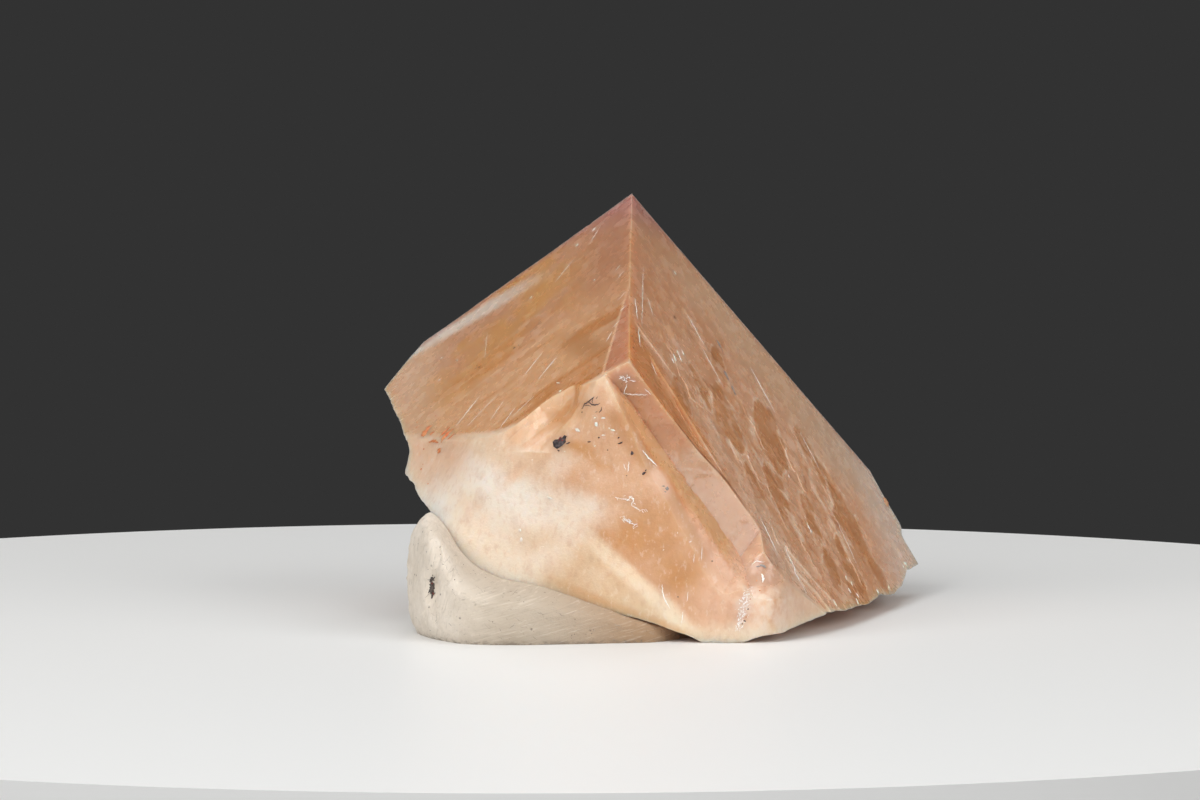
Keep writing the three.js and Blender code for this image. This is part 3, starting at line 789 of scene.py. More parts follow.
def pale_scratches(marks, skin):
    lines = [
        ([(-1.50, 19.25), (-1.15, 18.80), (-0.85, 18.48), (-0.50, 18.15), (-0.02, 17.62)], 0.15, 0.03),
        ([(-2.86, 18.10), (-2.92, 17.56), (-2.98, 17.04)], 0.09, 0.02),
        ([(-3.40, 17.90), (-3.18, 17.24)], 0.07, 0.02),
        ([(-4.30, 14.55), (-3.87, 14.38), (-3.47, 14.48), (-3.06, 14.18), (-2.56, 14.60), (-2.36, 14.18),
          (-2.66, 13.80), (-2.16, 13.46), (-1.76, 13.20), (-1.22, 13.40)], 0.08, 0.05),
        ([(-3.77, 12.50), (-3.37, 12.70), (-3.27, 12.16), (-2.76, 12.40), (-2.86, 11.88), (-2.36, 11.90),
          (-2.46, 11.40), (-2.14, 11.58)], 0.06, 0.06),
        ([(-3.30, 12.35), (-2.90, 12.05), (-2.55, 12.15)], 0.07, 0.05),
        ([(0.45, 5.85), (0.52, 5.00), (0.74, 4.30), (1.25, 3.40)], 0.12, 0.02),
        ([(3.06, 5.10), (2.96, 4.10)], 0.06, 0.02), ([(2.58, 3.20), (2.44, 2.00)], 0.09, 0.03),
        ([(3.7, 8.9), (3.62, 8.0)], 0.05, 0.01), ([(4.5, 9.6), (4.4, 8.2)], 0.06, 0.01),
        ([(9.58, 7.60), (9.98, 7.98), (10.50, 7.88), (10.90, 7.96)], 0.09, 0.03),
        ([(10.45, 6.75), (10.66, 6.35), (10.60, 5.95)], 0.22, 0.05),
    ]
    for points, width, wobble in lines:
        marks.trace(skin.ahead, points, 0.10, wobble, width, 0.6)
    around = [
        (-4.1, 14.45), (-3.5, 14.42), (-3.1, 14.25), (-2.6, 14.45), (-2.5, 14.0), (-2.2, 13.6),
        (-1.7, 13.25), (-1.35, 13.3), (-2.9, 14.55), (-3.5, 12.5), (-3.2, 12.35), (-2.8, 12.2),
        (-2.6, 11.95), (-2.35, 11.65), (-0.9, 18.5), (-0.4, 18.0),
    ]
    for x, z in around * 2:
        turn, reach = marks.rng.uniform(-1.2, 0.6), marks.rng.uniform(0.12, 0.45)
        x, z = x + marks.rng.normal(0, 0.10), z + marks.rng.normal(0, 0.10)
        marks.trace(skin.ahead, ray(x, z, turn, reach), 0.08, 0.03, (0.04, 0.09), 0.7)
    for _ in range(16):  # a tangle near the top of the step
        angle, away = marks.rng.uniform(0, 6.28), marks.rng.uniform(0.0, 0.55)
        x, z = -3.25 + away * math.cos(angle), 26.35 + 0.8 * away * math.sin(angle)
        turn, reach = marks.rng.uniform(0, 6.28), marks.rng.uniform(0.2, 0.45)
        marks.trace(skin.ahead, ray(x, z, turn, reach), 0.08, 0.03, (0.05, 0.10), 0.7)
    for points in [
        [(-3.05, 25.85), (-3.22, 25.30), (-3.36, 24.80)], [(-2.80, 26.15), (-2.15, 26.12)],
        [(-1.26, 25.38), (-0.95, 25.08), (-0.62, 24.72)], [(-3.5, 24.86), (-2.6, 24.72), (-0.9, 24.72)],
    ]:
        marks.trace(skin.ahead, points, 0.1, 0.02, 0.09, 0.7)
    hairs = [
        ((1.8, 19.3), (0.8, 18.3)), ((1.6, 24.5), (0.5, 23.8)), ((2.1, 17.0), (1.4, 16.2)),
        ((1.2, 27.6), (0.4, 27.2)), ((19.9, 9.4), (19.9, 15.6)), ((6.0, 5.5), (4.2, 2.4)),
        ((10.5, 9.0), (8.0, 6.3)), ((2.2, 30.2), (1.2, 29.7)), ((15.2, 34.6), (12.4, 33.4)),
        ((21.5, 29.5), (17.5, 26.9)), ((12.0, 30.2), (9.5, 27.8)), ((17.0, 35.5), (15.0, 33.0)),
        ((23.2, 27.5), (20.0, 24.2)), ((14.2, 27.0), (11.6, 24.2)), ((3.0, 32.5), (2.2, 31.0)),
        ((18.3, 32.0), (16.6, 29.4)),
    ]
    for ends in hairs:
        marks.trace(skin.left, ends, 0.25, 0.03, (0.05, 0.09), 0.5)
    for q, r, dq, dr in [
        (2.25, 15.0, 0.0, 13.5), (3.1, 21.0, 0.9, 2.6), (1.0, 24.5, 0.5, 4.0), (1.7, 30.5, 0.4, 3.5),
        (3.9, 34.5, 1.2, 1.0), (9.8, 14.0, 3.0, 2.6), (12.5, 18.0, 3.6, 3.4), (21.0, 9.0, 4.4, 4.2),
        (30.0, 11.0, 3.2, 3.4), (36.0, 22.0, 3.6, 5.4), (26.0, 41.0, 4.0, 5.0), (22.0, 41.5, 3.0, 3.6),
    ]:
        marks.trace(skin.right, [(q, r), (q + dq, r + dr)], 0.3, 0.05, (0.07, 0.13), 0.5)


def chalk_streak(marks, skin):
    spine = between([(9.15, 5.4), (8.80, 4.5), (8.60, 3.7), (8.45, 2.9), (8.35, 2.1), (8.15, 1.3)], 0.06)
    for x, z in np.repeat(spine, 3, axis=0):
        a, b = marks.rng.normal(0, 0.26), marks.rng.normal(0, 0.12)
        size = marks.rng.uniform(0.06, 0.20)
        marks.fleck(skin.ahead(x + a, z + b), size, size * 0.5, 0.03, marks.rng.uniform(0.6, 1.8), 0.4)


def rust_films(marks, skin):
    lines = [
        ([(27.75, 24.6), (27.6, 23.6), (27.1, 23.1), (26.65, 23.3)], 0.8),
        ([(25.2, 28.7), (24.85, 28.3), (24.3, 27.8), (23.5, 27.6)], 0.9),
        ([(25.4, 27.4), (24.8, 27.0), (24.0, 26.7)], 0.6), ([(25.9, 29.0), (25.5, 29.8)], 0.6),
        ([(26.9, 25.0), (26.2, 25.2)], 0.5), ([(24.2, 29.3), (23.3, 28.9)], 0.45),
        ([(27.0, 26.4), (26.2, 27.2), (25.6, 28.2)], 0.35),
    ]
    for points, width in lines:
        marks.trace(skin.left, points, 0.2, 0.05, width, 0.12, 0.8)
    marks.specks(skin.left, 1, 0.08, 0.0, [(29.0, 19.8, 0.2), (27.9, 26.6, 0.18), (26.3, 21.5, 0.14)])
    marks.specks(skin.ahead, 1, 0.08, 0.0, [
        (-23.75, 14.6, 0.18), (-24.6, 15.9, 0.24), (-24.4, 16.4, 0.12), (9.3, 4.4, 0.12),
        (10.3, 5.2, 0.16), (8.9, 2.6, 0.12), (10.0, 6.1, 0.14),
    ])


def orange_chip(marks, skin):
    marks.fleck(skin.right(46.2, 3.4), 1.5, 0.9, 0.3, 0.9, 0.3)


def putty_fibres(marks, skin):
    chosen = [
        ((-21.4, 8.0), (-20.9, 8.6)), ((-21.4, 8.0), (-21.0, 7.2)), ((-20.9, 7.1), (-20.3, 7.6)),
        ((-20.3, 7.6), (-19.9, 6.8)), ((-20.6, 8.5), (-19.8, 8.4)), ((-22.2, 3.2), (-22.3, 1.6)),
        ((-22.35, 8.9), (-22.6, 7.2)), ((-18.3, 5.9), (-17.4, 5.2)), ((-17.4, 2.3), (-16.7, 1.6)),
        ((-17.0, 2.6), (-16.2, 2.2)), ((-10.2, 3.3), (-9.3, 2.9)),
    ]
    lines = [between(ends, 0.14, 0.04, marks.rng) for ends in chosen]
    for _ in range(44):
        x, z = marks.rng.uniform(-24.4, -3.0), marks.rng.uniform(0.8, 8.5)
        turn, reach = marks.rng.uniform(-1.0, 1.0), marks.rng.uniform(0.25, 0.9)
        lines.append(between(ray(x, z, turn, reach), 0.12, 0.03, marks.rng))
    for line in lines:
        marks.thread([skin.ahead(x, z) for x, z in line], marks.rng.uniform(0.02, 0.05), 0.9)


def putty_grains(marks, skin):
    for _ in range(70):
        x, z = marks.rng.uniform(-24.8, -1.0), marks.rng.uniform(0.3, 9.5)
        size = marks.rng.uniform(0.05, 0.13)
        marks.fleck(skin.ahead(x, z), size, size * 0.7, size * 0.6, marks.rng.uniform(-1.5, 1.5), 0.3)
    for x, z, width, height in [
        (-22.72, 6.2, 0.26, 0.9), (-22.66, 5.6, 0.42, 1.0), (-22.78, 5.1, 0.50, 0.8),
        (-22.70, 4.5, 0.22, 0.9),
    ]:
        marks.fleck(skin.ahead(x, z), width, height, 0.14, marks.rng.uniform(-0.3, 0.3), 0.4)
    for _ in range(30):  # around the pit
        x, z = -22.72 + marks.rng.normal(0, 0.16), 5.4 + marks.rng.normal(0, 0.75)
        size = marks.rng.uniform(0.12, 0.32)
        marks.fleck(skin.ahead(x, z), size * 0.5, size, 0.12, marks.rng.uniform(-0.5, 0.5), 0.4)


def putty_rust(marks, skin):
    marks.fleck(skin.ahead(-22.62, 4.75), 0.16, 0.30, 0.34, 0.2, 0.4)
    marks.fleck(skin.ahead(-22.70, 5.75), 0.12, 0.22, 0.34, 0.2, 0.4)


# ------------------------------------------------------------------ materials

class Value:
    """A number, vector or colour that varies over a surface. Sums, products and steps become nodes."""

    __array_ufunc__ = None  # lets a numpy number come first in a sum

    def __init__(self, graph, socket):
        self.graph, self.socket = graph, socket

    def __add__(self, other):
        return self.graph.math("ADD", self, other)

    def __radd__(self, other):
        return self.graph.math("ADD", other, self)

    def __sub__(self, other):
        return self.graph.math("SUBTRACT", self, other)

    def __rsub__(self, other):
        return self.graph.math("SUBTRACT", other, self)

    def __mul__(self, other):
        return self.graph.math("MULTIPLY", self, other)

    def step(self, low, high):
        """0 below low and 1 above high; with low above high it falls instead."""
        rising = low < high
        ends = {1: min(low, high), 2: max(low, high), 3: 0.0 if rising else 1.0, 4: 1.0 if rising else 0.0}
        return self.graph.add("MapRange", {0: self, **ends}, interpolation_type="SMOOTHSTEP")

    def band(self, centre, half, soft):
        """1 within half of the centre, fading to 0 over soft."""
        return self.graph.math("ABSOLUTE", self - centre).step(half + soft, half)

    def lay(self, rgb, share):
        """This colour with another one laid over it, fully where share is 1."""
        return self.graph.mix(self, colour(*rgb), share)


class Graph:
    """Builds a material's node tree. Plain numbers and Values mix freely."""

    def __init__(self, name):
        self.material = bpy.data.materials.new(name)
        self.material.use_nodes = True
        self.tree = self.material.node_tree
        self.shader = self.tree.nodes["Principled BSDF"]
        self.place = self.add("TexCoord", output="Object")
        self.room = self.mapped(self.place, scale=(1000, 1000, 1000), kind="POINT")  # in millimetres

    def plug(self, socket, value):
        if isinstance(value, Value):
            self.tree.links.new(value.socket, socket)
        else:
            socket.default_value = value

    def add(self, kind, inputs=(), output=0, **settings):
        """Adds a shader node and gives one of its outputs."""
        node = self.tree.nodes.new("ShaderNode" + kind)
        for name, setting in settings.items():
            setattr(node, name, setting)
        for key, value in dict(inputs).items():
            self.plug(node.inputs[key], value)
        return Value(self, node.outputs[output])

    def math(self, operation, *values):
        return self.add("Math", dict(enumerate(values)), operation=operation)

    def most(self, *values):
        result = values[0]
        for value in values[1:]:
            result = self.math("MAXIMUM", result, value)
        return result

    def mix(self, a, b, share):
        return self.add("Mix", {0: share, 6: a, 7: b}, 2, data_type="RGBA")

    def split(self, vector):
        """The three parts of a vector."""
        first = self.add("SeparateXYZ", {0: vector})
        return [Value(self, socket) for socket in first.socket.node.outputs]

    def facing(self, direction):
        """How squarely the surface faces a direction, from -1 to 1."""
        inputs = {0: self.add("TexCoord", output="Normal"), 1: tuple(direction)}
        return self.add("VectorMath", inputs, "Value", operation="DOT_PRODUCT")

    def mapped(self, vector, location=(0, 0, 0), rotation=(0, 0, 0), scale=(1, 1, 1), kind="TEXTURE"):
        inputs = {"Vector": vector, "Location": location, "Rotation": rotation, "Scale": scale}
        return self.add("Mapping", inputs, vector_type=kind)

    def noise(self, vector, size, detail=3, rough=0.5, warp=0.0, shift=0.0, turn=(0, 0, 0)):
        """Noise of about 0.25 to 0.75. size is how long its cells are along each axis, turned by degrees."""
        turn = tuple(math.radians(angle) for angle in turn)
        scaled = self.mapped(vector, (40 * shift, 28 * shift, 52 * shift), turn, size)
        inputs = {"Vector": scaled, "Scale": 1.0, "Detail": detail, "Roughness": rough, "Distortion": warp}
        return self.add("TexNoise", inputs)

    def swirl(self, scale, detail, rough):
        """Three coarse noises as a vector, each about 0.5 on average."""
        inputs = {"Vector": self.room, "Scale": scale, "Detail": detail, "Roughness": rough}
        return self.add("TexNoise", inputs, "Color")

    def drifted(self, vector, reach, *noise):
        """Places pushed about by a swirl, so that no zone has a ruled edge."""
        push = self.add("VectorMath", {0: self.swirl(*noise), 1: (0.5, 0.5, 0.5)}, operation="SUBTRACT")
        push = self.add("VectorMath", {0: push, 3: reach}, operation="SCALE")
        return self.add("VectorMath", {0: vector, 1: push}, operation="ADD")

    def spot(self, vector, centre, radii, turn=0.0, soft=0.9):
        """A soft-edged ellipse or lump: 1 inside, 0 beyond its radii. It is turned by degrees about Y."""
        local = self.mapped(vector, centre, (0, math.radians(turn), 0), radii)
        return self.add("VectorMath", {0: local}, "Value", operation="LENGTH").step(1.0, 1.0 - soft)

    def feed(self, inputs):
        """Sets the shader's inputs."""
        for name, value in inputs.items():
            self.plug(self.shader.inputs[name], value)

    def bump(self, strength, distance, height):
        inputs = {"Strength": strength, "Distance": distance, "Height": height}
        self.feed({"Normal": self.add("Bump", inputs)})


def colour(red, green, blue):
    """A colour given as it looks on screen, 0 to 255."""
    linear = [((c / 255 + 0.055) / 1.055) ** 2.4 if c > 10 else c / 255 / 12.92 for c in (red, green, blue)]
    return (*linear, 1.0)


# ------------------------------------------------------------------ fluorite

CUBE_TURN = tuple(Matrix((left_edge, right_edge, front_edge)).transposed().to_euler())
THROUGH = 60         # a radius that takes a zone right through the crystal
FRONT_Y = -26        # about where the broken front lies
PANE_SLANT = 0.76    # how far a pane's middle moves along r for each millimetre of q

# Deeper-coloured panes in the right face: middle (q, r), half length, half width, softness of the border.
PANES = [
    (8.6, 33.4, 1.9, 2.4, 0.7), (12.4, 27.0, 1.9, 2.4, 0.8), (16.7, 27.4, 3.0, 4.2, 0.6),
    (24.2, 19.8, 3.4, 5.6, 0.6), (30.9, 13.5, 2.0, 3.2, 0.8), (25.2, 31.0, 2.6, 3.8, 0.7),
    (37.8, 18.8, 5.6, 4.6, 0.6), (38.4, 30.6, 3.0, 3.6, 0.5), (22.9, 40.0, 1.6, 2.6, 0.6),
    (31.3, 28.6, 2.2, 2.8, 0.6), (15.4, 16.4, 1.6, 2.6, 0.8), (20.5, 35.5, 1.8, 2.2, 0.7),
    (43.6, 23.5, 2.0, 3.0, 0.8), (34.6, 34.6, 1.8, 2.0, 0.6),
]
# Pale veins between them: middle (q, r), half length, half width.
VEINS = [
    (28.4, 11.5, 0.8, 3.4), (30.4, 17.0, 1.3, 1.9), (32.2, 20.2, 1.6, 1.7), (33.9, 21.8, 1.5, 1.5),
    (35.0, 24.4, 1.2, 1.9), (36.9, 26.0, 2.2, 1.3), (34.8, 18.6, 0.6, 3.0), (41.5, 10.2, 1.8, 1.2),
    (45.8, 10.4, 2.0, 1.2), (20.9, 21.6, 1.3, 1.9), (18.2, 33.7, 2.2, 1.8), (14.5, 33.0, 1.7, 1.3),
    (12.4, 29.6, 1.1, 2.0), (28.0, 34.0, 2.4, 1.6), (21.8, 28.6, 1.8, 1.6),
]


class StoneGraph(Graph):
    """The crystal's graph, with the places, distances and noises that its zones share."""

    def __init__(self):
        super().__init__("fluorite")
        room = self.room
        self.cube = self.mapped(self.place, tuple(APEX * MM), CUBE_TURN, (MM, MM, MM))
        self.xyz, self.pqr = self.split(room), self.split(self.cube)
        self.to_front = self.facing(front_edge)
        self.drift = self.drifted(room, 6.0, 0.16, 2.0, 0.5)
        self.clouds = self.noise(room, (9, 9, 9), 4, 0.55, 0.6)
        self.fine = self.noise(room, (1.7, 1.7, 1.7), 3, 0.55)
        self.wisps_p = self.noise(self.cube, (17, 5, 1.3), 3, 0.6, 0.5, 7.7, (0, -8, 0))
        self.behind_front = self.depth_behind_front()
        self.broken = self.behind_front.step(1.3, 0.3)  # 1 on the broken front
        _, q, r = self.pqr
        shingle = self.mapped(self.drifted(self.cube, 7.0, 0.34, 3.0, 0.6), (0, 0, 0),
                              (math.radians(34), 0, 0), (60, 8.5, 7.0))
        seam = self.add("TexVoronoi", {"Vector": shingle, "Scale": 1.0}, "Distance",
                        feature="DISTANCE_TO_EDGE")
        self.seam = seam.step(0.12, 0.0)
        self.within = r.step(7, 16) * q.step(3.5, 9) * (q - r * 0.2).step(38, 32)

    def depth_behind_front(self):
        """How far a point lies behind the broken front, with its planes rounded into one another."""
        x, y, z = self.xyz
        dx = x - float(APEX[0])

        def plane(facet):
            depth, across, up = facet
            return APEX[1] + depth + (dx * across + z * up)

        ahead = APEX[1] + AHEAD[0] + z * AHEAD[2]
        front = self.math("SMOOTH_MAX", plane(TURNED_SLIGHTLY), plane(TURNED_LEFT), 6.0)
        front = self.math("SMOOTH_MAX", front, ahead, 2.2)
        return y - self.math("SMOOTH_MAX", front, plane(TURNED_RIGHT), 3.0)

    def patch(self, x, z, wide, high, turn=0.0, soft=0.9, place=None):
        """A zone of the front: a soft ellipse at x, z."""
        return self.spot(place or self.drift, (x, FRONT_Y, z), (wide, THROUGH, high), turn, soft)


def left_face(g):
    """Golden tan with fibres along p, a milky veil by the back edge and a purplish one by the front edge."""
    p, q, r = g.pqr
    fibres = g.noise(g.cube, (19, 5, 3.2), 4, 0.5, 0.35, 3.1, (0, 5, 0))
    veil = (r - (0.9 + (29.2 - p) * 0.24)).band(0.0, 0.5, 2.0)
    look = g.mix(colour(208, 154, 100), colour(202, 152, 118), g.clouds.step(0.42, 0.6))
    look = look.lay((188, 136, 108), (p + g.clouds * 8).step(16, 6) * 0.85)
    look = look.lay((224, 174, 130), r.step(12, 27) * 0.8)
    look = look.lay((196, 130, 72), fibres.step(0.5, 0.38) * r.step(8, 26) * 0.8)
    look = look.lay((232, 192, 154), g.wisps_p.step(0.54, 0.66) * r.step(4, 24) * 0.6)
    look = look.lay((220, 184, 154), p.step(23, 31) * 0.8)
    look = look.lay((226, 212, 198), veil * p.step(9, 21) * fibres.step(0.36, 0.55) * 0.9)
    look = look.lay((190, 128, 120), r.step(1.6, 0.1) * q.step(3.5, 0.3) * 0.6)
    look = look.lay((184, 132, 98), p.step(7, 1) * r.step(9, 15) * 0.35)
    return look.lay((182, 128, 82), g.spot(g.room, (-7.2, -4, 29.2), (3.8, THROUGH, 2.0)) * 0.7)


def pane_places(g):
    """Places on the right face with the panes' slant taken out and their borders made ragged."""
    _, q, r = g.pqr
    sway_q, sway_r, _ = g.split(g.swirl(0.2, 1.0, 0.4))
    ragged = (g.noise(g.cube, (THROUGH, 3.2, 2.6), 3, 0.55, 0.2, 5.1, (38, 0, 0)) - 0.5) * 7
    along = q + (sway_q - 0.5) * 3.0
    slant = r + (sway_r - 0.5) * 6.0 - q * PANE_SLANT + ragged
    return g.add("CombineXYZ", {0: along, 1: 0.0, 2: slant})


def right_face(g):
    """Brown orange panes with pale frills in a paler painted sheen, drawn out along q."""
    p, q, r = g.pqr
    fine, place = g.fine, pane_places(g)

    def zone(q0, slant, long, wide, soft=0.9):
        return g.spot(place, (q0, 0, slant), (long, THROUGH, wide), 0.0, soft)

    panes = [zone(q0, r0 - PANE_SLANT * q0, 1.2 * long, 1.3 * wide, soft) for q0, r0, long, wide,
             soft in PANES]
    veins = [zone(q0, r0 - PANE_SLANT * q0, long, wide, 0.8) for q0, r0, long, wide in VEINS]
    windows = g.most(*panes).step(0.05, 0.6)
    drawn = g.noise(place, (2.6, THROUGH, 4.6), 3, 0.55)
    frill = windows.step(0.02, 0.2) * windows.step(0.6, 0.3) * fine.step(0.34, 0.54)
    wisps = g.noise(g.cube, (4, 14, 1.4), 3, 0.6, 0.6, 9.2, (30, 0, 0))
    # painted sheen: paler towards the back edge, standing in for soft reflection on the thin rim
    painted_sheen = (r + g.clouds * 10).step(19, 9)
    # painted shade: a deeper orange strip beside the step, for the shade in its groove
    strip = (r - q * 0.55).step(28.5, 32) * q.step(17, 10)
    foot = g.most(zone(28.4, 28.2, 5.0, 5.0), zone(25.2, 27.0, 3.0, 3.0))
    meeting = r - (42.0 + g.most(q - 16.5, 0.0) * 0.36)
    crack = meeting.band(-0.15, 0.1, 0.35) * q.step(6.5, 9) * q.step(21, 18)

    look = g.mix(colour(226, 174, 138), colour(220, 164, 124), g.clouds.step(0.42, 0.6))
    look = look.lay((242, 198, 162), drawn.step(0.52, 0.64) * g.within * 0.5)
    look = look.lay((210, 150, 104), windows * 0.95)
    look = look.lay((198, 138, 92), windows.step(0.4, 1.0) * drawn.step(0.6, 0.42) * 0.6)
    look = look.lay((250, 218, 190), frill * 0.75)
    look = look.lay((244, 208, 180), g.seam * g.within * fine.step(0.4, 0.66) * 0.35)
    look = look.lay((246, 210, 182), wisps.step(0.5, 0.66) * r.step(6, 16) * q.step(2, 9) * 0.2)
    look = look.lay((246, 208, 178), g.most(*veins).step(0.1, 0.65) * fine.step(0.2, 0.46) * 0.9)
    # painted highlight: paler where the right face's ledges turn to face the front
    look = look.lay((246, 212, 184), g.to_front.step(0.1, 0.35) * p.step(3, 2) * 0.2)
    # the painted sheen laid over the face, greyer towards the right end
    look = look.lay((224, 184, 150), painted_sheen * 0.85)
    look = look.lay((220, 192, 168), painted_sheen * q.step(26, 40) * 0.8)
    look = look.lay((206, 148, 108), (q + r * 0.5).step(16, 6) * 0.6)
    look = look.lay((228, 206, 190), (q - r * 0.25).step(36, 45) * 0.7)
    look = look.lay((190, 128, 120), r.step(1.4, 0.1) * p.step(3.5, 0.3) * 0.55)
    # the painted shade of the groove beside the step
    look = look.lay((218, 146, 88), strip * 0.8)
    look = look.lay((236, 204, 180), foot * 0.8)
    look = look.lay((150, 92, 56), crack * 0.8)
    # painted light: the lower part of the right face made paler, as on facets that face the front lamps
    return look.lay((230, 190, 160), (r - (q - 24) * 0.5).step(35, 42) * q.step(15, 24) * 0.85)


def bevel_and_corner(g, look):
    """The slight bevel beside the front edge is darker, a painted shade, with a painted highlight along its
    border; the corner is purplish.
    """
    p, q, r = g.pqr
    bevel = (r - 22.0) * 0.0578 - p * 0.3
    beside = (p - q).step(-0.3, 0.1) * r.step(20, 27) * q.step(3, 2)
    # painted shade: the bevel darker, as if turned away from the light
    look = look.lay((196, 136, 108), bevel.step(-0.02, 0.05) * beside * 0.75)
    # painted highlight: a pale line along the bevel's border
    look = look.lay((242, 202, 166), bevel.band(0.0, 0.02, 0.07) * beside * 0.7)
    return look.lay((186, 134, 126), (p + q + r).step(11, 1) * 0.9)


def ledges_and_steps(g, look):
    """Ledges and steps that face the front are pale and pinkish."""
    (p, q, r), to_front = g.pqr, g.to_front
    mottle = g.noise(g.cube, (5, 11, 3.4), 4, 0.6, 0.8, 1.7, (40, 0, 0))
    steps = to_front.step(0.75, 0.95) * p.step(9, 5)
    slope = to_front.step(0.55, 0.68) * to_front.step(0.97, 0.88) * p.step(4.5, 3.6) * r.step(38, 40)
    blotch = (q + (mottle - 0.5) * 8).step(9, 13)
    riser = to_front.step(0.5, 0.3) * to_front.step(0.02, 0.08) * p.step(1.0, 1.5) * p.step(8, 6)
    low_end = q.step(20.5, 22.0) * q.step(27, 25) * p.step(3.6, 2.8) * to_front.step(0.2, 0.4)
    look = look.lay((204, 156, 122), steps * 0.85)
    look = look.lay((208, 168, 138), slope * q.step(9, 12) * q.step(23, 21) * 0.9)
    look = look.lay((222, 192, 168), steps * blotch * 0.9)
    look = look.lay((212, 172, 144), steps * blotch * mottle.step(0.5, 0.62) * 0.8)
    look = look.lay((222, 174, 128), riser * g.behind_front.step(0.0, 0.3) * q.step(21.5, 19.5) * 0.9)
    return look.lay((212, 174, 148), low_end * 0.9)


def broken_edge_strip(g):
    """1 on the broken-off strip between the left face and the front."""
    p, q, r = g.pqr
    strip = g.facing(BEVEL_OUT).step(0.84, 0.93) * q.step(4, 3) * r.step(30, 33)
    return strip * p.step(2.0, 3.5) * g.behind_front.step(0.05, 0.3)


def front_clouds(g):
    """The front's cloudy zones: gold at the lower right, milky cream on the left, pink at the right."""
    x, _, z = g.xyz
    clouds = g.clouds
    wavy = (clouds - 0.5) * 9 + (g.noise(g.room, (4, 4, 4), 3, 0.6, 0.4, 4.4) - 0.5) * 3
    veil_at = z + x * 0.9 + wavy * 0.25
    peach = veil_at.step(4.6, 3.4)
    under_line = 11.75 - (x * 0.377 + z) + wavy * 0.35
    milk = under_line.step(-1.4, 2.4) * (x - z + wavy * 0.5).step(-15.5, -20.5)
    gold = g.most(g.patch(-2.0, 10.8, 5.0, 3.8, 20), g.patch(2.4, 7.0, 5.2, 3.2, 28),
                  g.patch(-7.6, 18.1, 2.8, 1.7, 15), g.patch(0.5, 16.0, 1.8, 5.0, -40))
    whiter = g.most(g.patch(-15.9, 15.3, 9.5, 4.6, 15), g.patch(-7.4, 14.9, 5.0, 2.6, 30),
                    g.patch(-22.4, 12.0, 3.0, 6.0))

    look = g.mix(colour(225, 183, 147), colour(216, 168, 126), clouds.step(0.42, 0.6))
    look = look.lay((208, 152, 94), gold * 0.88)
    look = look.lay((228, 200, 166), peach * 0.9)
    look = look.lay((230, 192, 150), peach * clouds.step(0.5, 0.62) * 0.6)
    look = look.lay((250, 232, 206), veil_at.band(4.3, 0.35, 1.5) * x.step(-9, -5) * 0.8)
    look = look.lay((244, 226, 206), milk)
    look = look.lay((238, 214, 192), g.patch(-9.9, 17.2, 3.4, 2.2, 12, 0.8) * 0.8)
    look = look.lay((246, 235, 222), whiter * milk)
    look = look.lay((236, 212, 186), under_line.step(2.0, -1.0) * x.step(-8, -14) * 0.8)
    look = look.lay((234, 196, 168), g.patch(7.5, 4.5, 5.5, 7.0) * 0.85)
    look = look.lay((212, 170, 142), g.patch(11.8, 7.2, 3.2, 3.6, 0.0, 0.8) * 0.8)
    look = look.lay((232, 202, 178), g.patch(15.0, 4.0, 4.6, 5.2) * 0.85)
    look = look.lay((238, 212, 184), (z + x * -0.06).step(2.2, 0.6) * x.step(0, 5) * 0.8)
    return look, wavy


def front_borders(g, look, wavy):
    """What follows the front's borders: gold and pink beside the step, gold under the left face's edge."""
    (x, _, z), (p, q, _), fine = g.xyz, g.pqr, g.fine
    beside_step = p + (g.clouds - 0.5) * 2.0 - 2.7
    pinch = q.step(8.6, 9.6) * q.step(12.4, 11.2)
    gilt = beside_step.step(2.6, 1.0) * q.step(1.8, 3.6) * q.step(24, 20) * (1 - pinch * 0.8)
    frost = g.patch(10.6, 3.6, 4.6, 5.6)
    rim = 11.75 - (x * 0.377 + z)
    border = q + wavy * 0.22
    strip = broken_edge_strip(g)

    # painted highlight: a cream rim along the top of the step, near the corner
    look = look.lay((238, 208, 178), beside_step.step(1.6, 0.6) * q.step(4.5, 1.5) * 0.6)
    look = look.lay((200, 152, 108), gilt * 0.85)
    look = look.lay((236, 198, 172), beside_step.step(2.6, 1.0) * pinch * 0.7)
    look = look.lay((240, 220, 202), frost * fine.step(0.34, 0.6) * 0.85)
    look = look.lay((236, 204, 174), q.step(1.5, 0.2) * p.step(22, 12) * p.step(2.7, 3.3) * 0.8)
    look = look.lay((216, 168, 136), p.step(2.9, 2.5) * q.step(3.2, 2.0))
    look = look.lay((206, 172, 150), p.step(3.0, 2.4) * q.step(9.5, 12) * q.step(22, 20) * 0.9)
    look = look.lay((230, 204, 174), g.patch(-11.8, 10.2, 3.4, 2.4) * 0.8)
    look = look.lay((200, 150, 106), g.patch(-9.6, 23.2, 2.8, 2.0) * 0.7)
    look = look.lay((206, 168, 142), g.patch(10.3, 10.6, 1.7, 2.4, 0.0, 0.6, g.room) * 0.85)
    look = look.lay((214, 162, 110), rim.step(8.9, 9.8) * x.step(-12, -7) * x.step(5, 2) * 0.7)
    look = look.lay((226, 186, 154), border.step(2.6, 0.4) * p.step(19, 24) * 0.85)
    look = look.lay((234, 192, 152), strip * g.wisps_p.step(0.42, 0.55) * 0.8)
    look = look.lay((222, 164, 112), strip * g.wisps_p.step(0.5, 0.4) * 0.6)
    return look, strip


